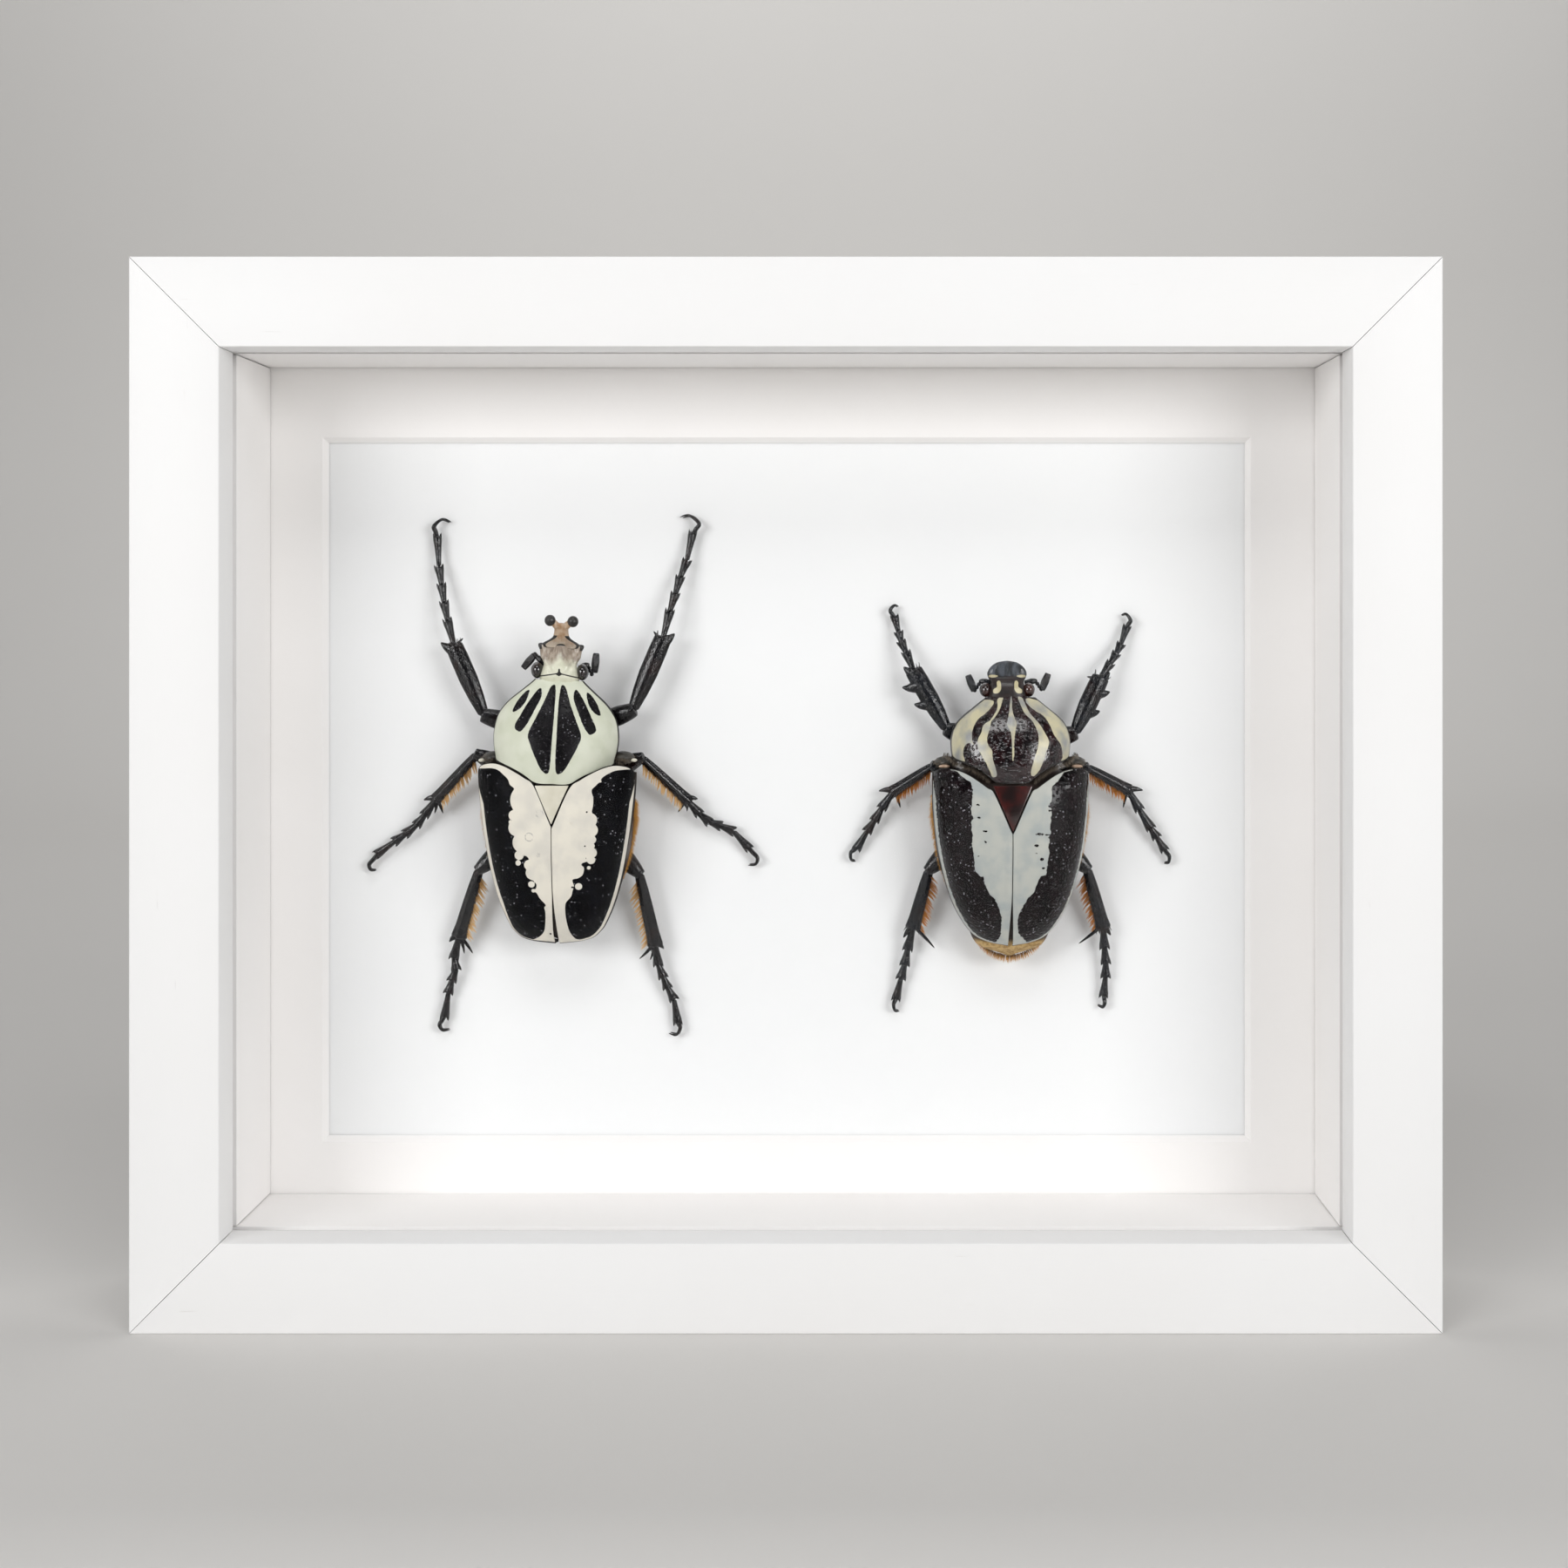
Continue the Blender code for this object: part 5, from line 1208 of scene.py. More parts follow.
PAIRS = {
    "fore": Pair((1.9, 2.7, 2.6, 2.0), (1.2, 2.0, 2.4, 2.4, 2.2), 1.2, 0.0),
    "mid": Pair((1.9, 2.7, 2.5, 1.5), (0.95, 1.2, 1.3, 1.4, 1.65), 1.3, 3.0),
    "hind": Pair((2.0, 2.8, 2.6, 1.6), (1.05, 1.4, 1.55, 1.65, 2.05), 1.28, 3.0),
}
MALE_LEGS = {
    "fore_left": Leg(
        "fore", (-6.0, 13.6, 5.4), (-20.0, 17.8, 8.6), (-28.6, 36.9, 7.2), ((-31.9, 37.2, 7.2),),
        ((-26.0, 38.4, 6.8),),
        ((-30.3, 42.9, 6.0), (-31.4, 47.7, 5.0), (-32.3, 52.4, 4.0), (-33.2, 57.3, 3.0), (-33.8, 65.4, 2.2)),
        ((-34.6, 68.3, 2.6), (-32.3, 70.2, 2.0), (-30.2, 69.4, 1.0))),
    "fore_right": Leg(
        "fore", (6.0, 14.2, 5.4), (19.2, 19.2, 8.6), (27.4, 38.9, 7.2), ((30.3, 39.6, 7.2),),
        ((24.6, 40.2, 6.8),),
        ((28.8, 45.3, 6.0), (30.2, 50.0, 5.0), (31.4, 54.4, 4.0), (33.1, 58.9, 3.0), (34.6, 66.3, 2.2)),
        ((36.4, 69.0, 2.6), (33.7, 71.2, 2.0), (31.1, 70.8, 1.0))),
    "mid_left": Leg(
        "mid", (-8.0, 0.4, 4.4), (-22.0, 7.6, 8.4), (-34.2, -5.2, 4.6), ((-37.0, -4.9, 4.6),),
        ((-34.3, -8.6, 3.4), (-32.1, -8.6, 3.2)),
        ((-36.8, -8.8, 3.6), (-39.0, -11.5, 3.2), (-42.1, -14.0, 2.8), (-45.1, -16.1, 2.5),
         (-50.0, -19.6, 2.0)),
        ((-52.1, -22.4, 2.2), (-51.6, -23.9, 1.7), (-50.3, -24.0, 1.0))),
    "mid_right": Leg(
        "mid", (8.0, 0.6, 4.4), (21.5, 6.7, 8.4), (34.0, -5.5, 4.6), ((36.2, -4.6, 4.6),),
        ((30.8, -8.3, 3.4), (33.2, -8.1, 3.2)),
        ((36.4, -8.5, 3.6), (39.0, -10.8, 3.2), (42.0, -11.9, 2.8), (45.5, -13.4, 2.5), (49.6, -17.9, 2.0)),
        ((52.0, -20.6, 2.2), (51.4, -22.4, 1.7), (49.4, -22.7, 1.0))),
    "hind_left": Leg(
        "hind", (-8.0, -11.6, 4.4), (-21.6, -23.0, 7.4), (-27.8, -42.0, 4.4), ((-30.2, -42.8, 4.4),),
        ((-24.1, -46.1, 3.2), (-26.4, -46.2, 3.0)),
        ((-29.1, -47.1, 3.4), (-28.6, -50.2, 3.1), (-29.8, -53.3, 2.7), (-30.8, -56.6, 2.4),
         (-31.9, -63.3, 2.0)),
        ((-33.2, -65.4, 2.2), (-32.3, -66.9, 1.7), (-30.5, -66.8, 1.0))),
    "hind_right": Leg(
        "hind", (8.0, -12.0, 4.4), (20.8, -24.0, 7.4), (25.0, -44.3, 4.4), ((27.1, -44.6, 4.4),),
        ((20.4, -47.6, 3.2), (23.3, -47.9, 3.0)),
        ((25.5, -48.9, 3.4), (26.8, -52.3, 3.1), (27.9, -55.2, 2.7), (29.6, -58.4, 2.4), (30.6, -64.7, 2.0)),
        ((31.3, -66.2, 2.2), (30.2, -68.1, 1.7), (28.1, -67.8, 1.0))),
}
FEMALE_LEGS = {
    "fore_left": Leg(
        "fore", (-7.0, 10.0, 6.0), (-16.4, 13.4, 8.6), (-25.6, 29.5, 6.6),
        ((-28.0, 30.0, 6.4), (-28.4, 24.6, 6.8), (-25.2, 20.1, 7.2)), ((-23.2, 29.4, 6.2),),
        ((-27.2, 33.6, 5.2), (-28.5, 36.5, 4.2), (-29.2, 39.0, 3.2), (-30.3, 43.2, 2.2)),
        ((-31.5, 45.0, 2.4), (-30.4, 46.4, 1.8), (-29.2, 46.1, 1.0))),
    "fore_right": Leg(
        "fore", (7.0, 9.6, 6.0), (17.2, 12.4, 8.6), (24.7, 27.7, 6.6),
        ((26.9, 28.6, 6.4), (26.9, 23.4, 6.8), (24.2, 18.3, 7.2)), ((20.8, 27.4, 6.2),),
        ((27.1, 30.8, 5.2), (28.8, 33.4, 4.2), (30.2, 35.9, 3.2), (31.9, 40.5, 2.2)),
        ((32.9, 42.4, 2.4), (31.7, 44.1, 1.8), (30.5, 43.8, 1.0))),
    "mid_left": Leg(
        "mid", (-9.0, -2.0, 5.0), (-20.2, 3.8, 8.4), (-31.2, -3.6, 4.6), ((-34.6, -3.2, 4.4),),
        ((-28.8, -7.8, 3.4),),
        ((-33.6, -7.6, 3.6), (-35.6, -11.0, 3.1), (-37.6, -14.0, 2.7), (-40.4, -18.7, 2.0)),
        ((-42.1, -20.0, 2.2), (-41.9, -21.9, 1.7), (-40.7, -22.4, 1.0))),
    "mid_right": Leg(
        "mid", (9.0, -2.0, 5.0), (20.6, 3.4, 8.4), (32.6, -3.2, 4.6), ((36.0, -3.0, 4.4),),
        ((30.8, -7.8, 3.4),),
        ((35.0, -8.0, 3.6), (38.1, -13.0, 3.1), (39.8, -15.6, 2.7), (42.0, -19.1, 2.0)),
        ((43.3, -20.9, 2.2), (43.1, -22.6, 1.7), (42.0, -22.9, 1.0))),
    "hind_left": Leg(
        "hind", (-9.0, -13.0, 5.0), (-21.2, -23.8, 7.4), (-25.6, -40.3, 4.4), ((-28.0, -42.4, 4.2),),
        ((-19.6, -45.4, 3.2),),
        ((-26.8, -45.4, 3.4), (-27.6, -49.6, 3.0), (-28.6, -53.4, 2.5), (-29.9, -59.0, 2.0)),
        ((-30.6, -60.6, 2.2), (-30.2, -62.3, 1.7), (-29.0, -62.6, 1.0))),
    "hind_right": Leg(
        "hind", (9.0, -13.0, 5.0), (20.7, -23.5, 7.4), (25.5, -40.2, 4.4), ((27.4, -41.8, 4.2),),
        ((18.9, -44.2, 3.2),),
        ((25.8, -45.0, 3.4), (26.2, -49.2, 3.0), (26.2, -53.0, 2.5), (25.7, -58.2, 2.0)),
        ((26.0, -60.2, 2.2), (25.4, -61.4, 1.7), (24.1, -60.9, 1.0))),
}

print("legs:", len(MALE_LEGS) + len(FEMALE_LEGS), "in", len(PAIRS), "kinds")

# %% [markdown]
# ## Thighs, shins and feet
# A foot is a chain of club-shaped pieces, each narrow at its root and flared at its tip, with small
# bristles round the flare. One such piece and one thorn are modelled a unit long, and copies of them are
# stretched between the points of every leg.

# %% One foot piece and one thorn
def thorn_form():
    return limb([(0.0, 0.0, 0.0), (0.06, 0.5, 0.0), (-0.12, 1.0, 0.0)], (1.0, 0.62, 0.1), (8, 8), blunt=0.02)


def club_profile(share):
    """The radius of a foot piece along its length: a stalk, a swelling, a flare and a hollow end."""
    shares = (0.0, 0.08, 0.3, 0.62, 0.86, 0.95, 1.0)
    return float(np.interp(share, shares, (0.4, 0.58, 0.66, 0.84, 1.02, 0.96, 0.4)))


def club_form():
    """A foot piece of unit length with four bristles at its flare."""
    def form(u, v):
        radius = club_profile(v) if 0.0 < v < 1.0 else 0.0
        turn = 2 * math.pi * u
        return Vector((math.cos(turn) * radius, v, math.sin(turn) * radius))

    pieces = [rolled_grid(14, 16, form)]
    for side, rise in ((-1, 0.2), (1, 0.2), (-0.6, -0.7), (0.6, -0.7)):
        start = Vector((0.66 * side, 0.8, 0.66 * rise))
        pieces.append(limb([start, start + Vector((0.24 * side, 0.14, 0.15 * rise)),
                            start + Vector((0.36 * side, 0.3, 0.2 * rise))], (0.22, 0.15, 0.04), (6, 6)))
    return join(pieces, "club")


def stretched(template, start, end, width, flat=0.85):
    """A copy of a unit-long piece, set from start to end."""
    start, end = Vector(start), Vector(end)
    ahead = end - start
    side = ahead.cross(Vector((0.0, 0.0, 1.0))).normalized()
    rise = side.cross(ahead).normalized()
    turn = Matrix((side, ahead.normalized(), rise)).transposed().to_4x4()
    copy = template.copy()
    copy.data = template.data.copy()
    bpy.context.collection.objects.link(copy)
    size = Matrix.Diagonal((width, ahead.length, width * flat, 1.0))
    copy.data.transform(Matrix.Translation(start) @ turn @ size)
    return copy


CLUB = club_form()
THORN = thorn_form()
print("faces of a foot piece:", len(CLUB.data.polygons), "and of a thorn:", len(THORN.data.polygons))


# %% Model a leg
CROWN_THORNS = 7


def model_thigh(leg):
    """The thigh, from its socket in the body to just past the knee."""
    root, knee = Vector(leg.root), Vector(leg.knee)
    points = [root.lerp(knee, share) for share in (0.0, 0.35, 0.75, 1.0)]
    points.append(knee + (knee - root).normalized() * 0.9)
    radii = PAIRS[leg.pair].femur
    return limb(points, radii + (radii[-1] * 0.75,), (26, 40), flat=0.75)


def model_shin(leg):
    """The shin: it widens to the ankle, with outer teeth, inner spurs and a crown of thorns."""
    pair = PAIRS[leg.pair]
    knee, ankle = Vector(leg.knee), Vector(leg.ankle)
    along = (ankle - knee).normalized()
    across = Vector((-along.y, along.x, 0.0)).normalized()
    points = [knee.lerp(ankle, share) for share in (0.0, 0.25, 0.5, 0.8, 1.0)]
    blade = leg.pair == "fore"
    pieces = [limb(points, pair.tibia, (36, 60), flat=0.55 if blade else 0.66, ridges=0.04 if blade else 0.1)]
    for tip in leg.teeth:
        tip = Vector(tip)
        back = (tip - ankle).dot(along)
        foot = ankle + along * (min(back, 0.0) - (2.4 if blade else 1.6))
        root = foot.lerp(tip, 0.22)
        bend = root.lerp(tip, 0.6) - along * 0.35
        width = (2.1, 1.05, 0.12) if blade else (1.0, 0.65, 0.1)
        pieces.append(limb([root, bend, tip], width, (12, 14), flat=0.6, blunt=0.03))
    for tip in leg.spurs:
        tip = Vector(tip)
        root = tip.lerp(ankle - along * 1.2, 0.95)
        bend = root.lerp(tip, 0.55) + across * 0.2
        pieces.append(limb([root, bend, tip], (0.55, 0.42, 0.08), (10, 12), blunt=0.03))
    radius = pair.tibia[-1]
    for step in range(CROWN_THORNS):
        turn = math.tau * (step + 0.5) / CROWN_THORNS
        side = across * math.cos(turn) * radius * 0.8 + Vector((0, 0, math.sin(turn) * radius * 0.45))
        root = ankle - along * 0.7 + side
        pieces.append(stretched(THORN, root, root + side * 0.35 + along * 1.5, 0.22))
    return join(pieces, "shin")


def model_foot(leg):
    """The chain of foot pieces and the two hooked claws."""
    pair = PAIRS[leg.pair]
    ankle, knee = Vector(leg.ankle), Vector(leg.knee)
    previous = ankle - (ankle - knee).normalized() * 0.6
    pieces = []
    last = len(leg.joints) - 1
    for index, joint in enumerate(leg.joints):
        joint = Vector(joint)
        ahead = (joint - previous).normalized()
        width = pair.foot * (0.92 if index == last else 1.04)
        pieces.append(stretched(CLUB, previous, joint + ahead * 0.25, width))
        previous = joint
    out, top, tip = [Vector(point) for point in leg.claw]
    heel = previous - (previous - Vector(leg.joints[-2])).normalized() * 0.6
    for side in (-1, 1):
        spread = Vector((0.0, 0.0, 0.5 * side))
        inner = (tip - out) * (0.0 if side > 0 else -0.12)
        path = [heel, heel.lerp(out, 0.55) + spread * 0.5, out + spread, top + spread + inner,
                tip + spread * 0.7 + inner]
        pieces.append(limb(path, (0.6, 0.6, 0.5, 0.36, 0.08), (12, 30), blunt=0.03))
    return join(pieces, "foot")


def build_legs(legs, owner, shell, matrix, replaced):
    """All of a beetle's legs; replaced(part, name) names the solids that a part stands for."""
    for name, leg in legs.items():
        for part, model in (("femur", model_thigh), ("tibia", model_shin), ("foot", model_foot)):
            piece = model(leg)
            keep(piece, f"{owner}_{part}_{name}", shell, replaced(part, name), matrix)


build_legs(MALE_LEGS, "male", LEG, MALE_CARD, lambda part, name: (f"{part}_{name}",))
print("male legs modelled")

# %% [markdown]
# ## Hair
# Goliath beetles carry stiff fringes on their shins and short fuzz on their flanks. Particle hair is lost
# on export, so every hair is a thin solid spike with three sides. A hair stores how far along it a
# point lies, for its colour, and its own small patch of a UV map at its root's place.

# %% Hair builder
Strand = namedtuple("Strand", "root lie bend length patch")
HAIR_RINGS = ((0.0, 1.0), (0.45, 0.8), (0.8, 0.4))
PATCH = 0.003


def hair_piece(name, strands, radius):
    """Solid hairs in one mesh, each with a root ring, two more rings and a tip."""
    points, faces, along, patches = [], [], [], []
    for strand in strands:
        base = len(points)
        side = strand.lie.orthogonal().normalized()
        other = strand.lie.cross(side)
        for share, thick in HAIR_RINGS:
            middle = strand.root + (strand.lie * share + strand.bend * share * share) * strand.length
            for corner in range(3):
                turn = math.tau * corner / 3
                points.append(middle + (side * math.cos(turn) + other * math.sin(turn)) * radius * thick)
                along.append(share)
                patches.append((strand.patch[0] + PATCH * share, strand.patch[1] + PATCH * corner / 3))
        points.append(strand.root + (strand.lie + strand.bend) * strand.length)
        along.append(1.0)
        patches.append((strand.patch[0] + PATCH, strand.patch[1] + PATCH / 3))
        faces.append((base + 2, base + 1, base))
        for ring in (0, 3):
            for corner in range(3):
                a, b = base + ring + corner, base + ring + (corner + 1) % 3
                faces.append((a, b, b + 3, a + 3))
        for corner in range(3):
            faces.append((base + 6 + corner, base + 6 + (corner + 1) % 3, base + 9))
    mesh = bpy.data.meshes.new(name)
    mesh.from_pydata(points, [], faces)
    piece = bpy.data.objects.new(name, mesh)
    bpy.context.collection.objects.link(piece)
    store(piece, "along", along)
    unwrap = mesh.uv_layers.new(name="OFBake")
    corners = np.array(patches)[[loop.vertex_index for loop in mesh.loops]]
    unwrap.data.foreach_set("uv", corners.astype(np.float32).ravel())
    return piece


def keep_hair(strands, radius, name, finish, matrix):
    """Makes strands one piece and finishes it, with flat faces."""
    keep(hair_piece("hair", strands, radius), name, finish, (), matrix, smooth=0)


def fringe(leg, tufts, each, seed):
    """The comb of hair along the inner edge of a shin: the hairs of a tuft lean to one tip."""
    draw = random.Random(seed)
    pair = PAIRS[leg.pair]
    knee, ankle = Vector(leg.knee), Vector(leg.ankle)
    along = (ankle - knee).normalized()
    inner = Vector((-along.y, along.x, 0.0)).normalized()
    if inner.x * knee.x > 0:
        inner = -inner
    strands = []
    for index in range(tufts):
        share = 0.1 + 0.8 * (index + draw.uniform(-0.3, 0.3)) / (tufts - 1)
        reach = float(np.interp(share, (0, 0.25, 0.5, 0.8, 1.0), pair.tibia)) - 0.5
        edge = knee.lerp(ankle, share) + inner * reach
        slant = (inner + along * draw.uniform(0.5, 0.8)).normalized()
        tip = edge + slant * (pair.fringe * (1.2 - 0.3 * share) * draw.uniform(0.75, 1.1) + 0.5)
        tip.z -= draw.uniform(0.0, 0.6)
        for _ in range(each):
            height = draw.uniform(-0.7, 0.5)
            root = edge + along * draw.gauss(0.0, 0.28) + Vector((0.0, 0.0, height))
            way = tip + along * draw.gauss(0.0, 0.1) - root
            length = way.length * draw.uniform(0.7, 1.0)
            patch = (share * 0.95, 0.5 + height * 0.4)
            strands.append(Strand(root, way.normalized(), along * 0.06, length, patch))
    return strands


def flank(rows, side, low, high, count, length, seed):
    """A mat of hair that stands out from under the edge of a wing cover, thinning towards the tail."""
    draw = random.Random(seed)
    strands = []
    for _ in range(count):
        y = draw.uniform(low, high)
        share = (y - low) / (high - low)
        width, _, seam = at(rows, y)
        height = draw.uniform(0.8, 4.5)
        root = Vector((side * (width - 0.9 - 0.1 * height), y, seam - height))
        lie = Vector((side * 1.0, draw.uniform(-1.3, -0.3), draw.uniform(-0.2, 0.35))).normalized()
        full = length * float(np.interp(share, (0.0, 0.3, 0.8, 1.0), (0.45, 0.8, 1.0, 0.7)))
        bend = Vector((0.0, -0.25, -0.1))
        strands.append(Strand(root, lie, bend, full * draw.uniform(0.75, 1.1), (share * 0.95, height * 0.2)))
    return strands


def tuft_patch(centre, radii, lie, count, length, seed):
    """Short fuzz on a rounded patch of the body."""
    draw = random.Random(seed)
    strands = []
    for _ in range(count):
        turn = draw.uniform(0.0, math.tau)
        tilt = draw.uniform(0.0, 0.5) * math.pi
        out = Vector((math.cos(turn) * math.sin(tilt), math.sin(turn) * math.sin(tilt), math.cos(tilt)))
        root = Vector(centre) + Vector([o * r * 0.96 for o, r in zip(out, radii)])
        spread = Vector([draw.uniform(-0.35, 0.35) for _ in range(3)])
        way = (Vector(lie) + out * 0.8 + spread).normalized()
        full = length * draw.uniform(0.6, 1.2)
        strands.append(Strand(root, way, Vector(lie) * 0.15, full, (turn / 6.7, tilt / 1.7)))
    return strands


print("faces of a hair:", 1 + 3 * len(HAIR_RINGS))


# %% Comb the male
SIDE_PLATE = ((17.0, 6.9, 11.0), (3.1, 1.7, 3.1))
SHOULDER_LOBE = ((20.0, 6.3, 12.4), (0.9, 0.5, 0.8))


def side_plate(owner, slot, centre, radii, lobe, lobe_material, replaced, matrix, seed):
    """Both side plates, each with a pale lobe behind it at the wing cover's shoulder; returns their fuzz."""
    strands = []
    for side, name in ((-1, "left"), (1, "right")):
        place = (side * centre[0], centre[1], centre[2])
        keep(ball(place, radii, (28, 18)), f"{owner}_side_plate_{name}", SIDE, replaced, matrix)
        bead = ball((side * lobe[0][0], lobe[0][1], lobe[0][2]), lobe[1], (24, 14))
        keep(bead, f"{owner}_shoulder_lobe_{name}", lobe_material, replaced, matrix)
        strands += tuft_patch(place, radii, (side * 0.5, -0.8, -0.4), 260, 0.7, seed + side)
    return strands


def build_male_hair():
    for index, name in enumerate(("mid_left", "mid_right", "hind_left", "hind_right")):
        strands = fringe(MALE_LEGS[name], 22, 20, 20 + index)
        keep_hair(strands, 0.065, f"male_fringe_{name}", GOLD_HAIR, MALE_CARD)
    left = flank(COVER_ROWS, -1, -24.0, -3.0, 700, 2.6, 31)
    right = flank(COVER_ROWS, 1, -24.4, -3.8, 1500, 2.9, 32)
    keep_hair(left + right, 0.07, "male_flank_hair", BROWN_HAIR, MALE_CARD)
    strands = side_plate("male", "body_shell", *SIDE_PLATE, SHOULDER_LOBE, PLATE, (), MALE_CARD, 33)
    keep_hair(strands, 0.045, "male_side_plate_hair", GREY_HAIR, MALE_CARD)


build_male_hair()
print("male combed")

# %% [markdown]
# ## The female's shells
# She is rounder and has no horn. Her front shield is black and deep red with long ivory stripes, and her
# wing covers have a grey-white middle with a torn edge. Here the outlines hold the pale zones, so the
# stored distance is turned round: it is above zero outside them.

# %% Female shield
FEMALE_SOLID = ("female_beetle",)
F_SHIELD_ROWS = (
    (24.0, 5.4, 14.0, 13.2), (22.2, 6.6, 15.0, 13.1), (21.0, 8.1, 15.9, 13.0), (19.6, 9.8, 17.0, 12.8),
    (17.3, 12.6, 18.6, 12.6), (15.6, 14.2, 19.6, 12.4), (13.4, 15.3, 20.7, 12.3), (10.4, 15.8, 21.7, 12.2),
    (5.4, 15.3, 22.7, 12.2), (0.0, 14.4, 22.3, 12.2),
)
F_SHIELD_FRONT = (
    (0.0, 23.7), (2.6, 23.5), (5.7, 23.0), (8.2, 22.5), (13.4, 22.2), (15.6, 22.1), (16.5, 21.7),
)
F_SHIELD_REAR = (
    (0.0, 0.2), (3.4, 0.3), (4.8, 0.8), (5.9, 1.9), (9.0, 4.1), (12.3, 5.4), (14.6, 6.1), (16.5, 8.0),
)
F_STRIPES = (
    ((0.2, 22.6), (-0.2, 21.5), (-0.6, 18.9), (-1.1, 16.5), (-1.3, 15.3), (-0.5, 13.6), (-0.15, 11.0),
     (-0.1, 6.5), (0.35, 6.5), (0.45, 11.0), (0.8, 13.6), (1.2, 15.7), (0.6, 17.4), (0.2, 19.3)),
    ((-3.5, 21.7), (-3.6, 19.8), (-4.4, 18.1), (-5.7, 16.4), (-7.4, 15.2), (-7.9, 13.5), (-8.8, 11.6),
     (-9.0, 9.7), (-8.0, 7.5), (-6.8, 5.4), (-5.8, 3.2), (-5.2, 2.0), (-4.1, 2.3), (-4.5, 4.4), (-5.2, 6.9),
     (-5.3, 8.8), (-6.3, 10.2), (-6.5, 12.1), (-5.8, 14.3), (-5.4, 16.0), (-4.2, 17.4), (-3.1, 19.1),
     (-2.3, 21.2), (-2.0, 22.7)),
    ((1.9, 22.2), (2.6, 20.0), (3.5, 18.1), (5.2, 16.4), (6.1, 14.8), (6.8, 12.6), (6.7, 10.2), (5.9, 7.3),
     (5.1, 4.9), (4.7, 2.7), (5.6, 2.2), (6.9, 3.6), (8.1, 6.1), (8.7, 8.0), (9.5, 10.2), (9.5, 11.4),
     (8.5, 13.3), (7.4, 15.2), (5.9, 16.9), (4.5, 18.8), (3.6, 20.8), (2.9, 22.2)),
    ((-7.6, 21.4), (-10.8, 19.2), (-14.1, 15.7), (-16.3, 12.4), (-16.4, 8.8), (-15.4, 5.3), (-12.3, 5.5),
     (-12.7, 7.6), (-12.3, 9.6), (-11.1, 10.6), (-10.0, 10.1), (-10.4, 11.6), (-10.2, 14.0), (-8.8, 16.6),
     (-7.1, 17.9), (-5.6, 19.3), (-4.5, 20.8), (-5.0, 21.5)),
    ((4.4, 22.0), (7.4, 21.2), (10.6, 18.7), (13.6, 15.8), (16.8, 12.4), (16.9, 9.9), (16.0, 5.3),
     (13.0, 5.6), (13.3, 7.1), (12.8, 10.0), (11.1, 12.5), (9.9, 15.2), (8.5, 17.4), (6.3, 18.8),
     (4.8, 20.0), (3.9, 21.2)),
)


def outside_stripes(places):
    return -np.max([inside(places, rounded(stripe)) for stripe in F_STRIPES], axis=0)


def female_swell(x, y):
    """A sharp low ridge along the middle of her shield's front half."""
    return 0.3 * math.exp(-((x / 0.7) ** 2)) * ease(y, 10.0, 20.0)


shield = model_shield(F_SHIELD_ROWS, F_SHIELD_FRONT, F_SHIELD_REAR, female_swell, outside_stripes)
keep(shield, "female_front_shield", FEMALE_SHIELD, FEMALE_SOLID, FEMALE_CARD)
print("female shield faces:", len(shield.data.polygons))

# %% Female wing covers and scutellum
F_COVER_ROWS = (
    (4.2, 20.2, 19.8, 12.8), (2.6, 20.5, 21.4, 12.3), (-1.0, 20.6, 22.8, 11.8), (-8.0, 20.4, 23.6, 11.4),
    (-20.0, 18.8, 23.2, 11.0), (-31.0, 15.7, 20.4, 10.9), (-37.6, 12.2, 17.0, 10.9), (-41.0, 8.9, 14.6, 11.0),
    (-42.6, 5.0, 13.2, 11.0), (-43.3, 0.8, 12.2, 11.0),
)
F_COVER_FRONT = (
    (0.0, -12.6), (0.3, -12.2), (5.1, -1.6), (6.4, -0.8), (7.9, 0.3), (11.0, 2.3), (13.8, 3.5), (16.9, 3.9),
    (18.8, 3.8), (20.6, 2.6),
)
F_PALE_LEFT = (
    (-16.2, 3.5), (-14.3, 3.3), (-13.2, 2.1), (-11.9, 1.2), (-10.7, 0.4), (-10.3, -1.2), (-10.5, -4.6),
    (-10.8, -6.7), (-10.2, -8.9), (-10.8, -9.8), (-10.4, -13.2), (-10.6, -15.0), (-10.0, -18.6),
    (-9.7, -22.3), (-8.3, -23.9), (-7.6, -23.7), (-7.2, -25.9), (-5.7, -28.8), (-4.7, -29.5), (-3.8, -31.3),
    (-2.6, -34.8), (-2.7, -38.3), (-2.7, -40.3), (-4.2, -42.6),
)
F_PALE_RIGHT = (
    (15.8, 3.5), (13.4, 3.0), (12.1, 1.2), (10.0, -0.7), (10.2, -2.7), (10.0, -4.2), (9.1, -5.7),
    (10.2, -6.3), (10.0, -7.6), (9.6, -10.9), (9.9, -12.8), (9.1, -13.6), (9.6, -14.3), (9.1, -16.0),
    (9.5, -17.8), (9.1, -19.3), (8.7, -23.4), (7.2, -23.7), (6.4, -25.5), (5.5, -28.1), (4.1, -29.5),
    (3.1, -31.3), (1.8, -34.0), (1.5, -36.3), (2.0, -39.5), (4.3, -42.2),
)
F_FLECKS = (
    (-9.1, -5.2, 0.6, 0.2), (-8.6, -8.5, 0.8, 0.22), (-7.0, -12.0, 0.75, 0.22), (-7.1, -14.7, 0.3, 0.35),
    (-8.1, -13.7, 0.22, 0.22), (-8.9, -18.4, 0.22, 0.22), (6.7, -12.7, 0.9, 0.26), (8.5, -12.9, 1.1, 0.16),
    (6.1, -15.7, 0.55, 0.4), (1.6, -16.6, 0.2, 0.2), (6.2, -17.7, 0.45, 0.22), (7.5, -19.2, 0.5, 0.4),
    (9.6, -5.6, 0.6, 0.18), (9.5, -6.7, 0.35, 0.3), (8.0, -21.6, 0.5, 0.3),
)
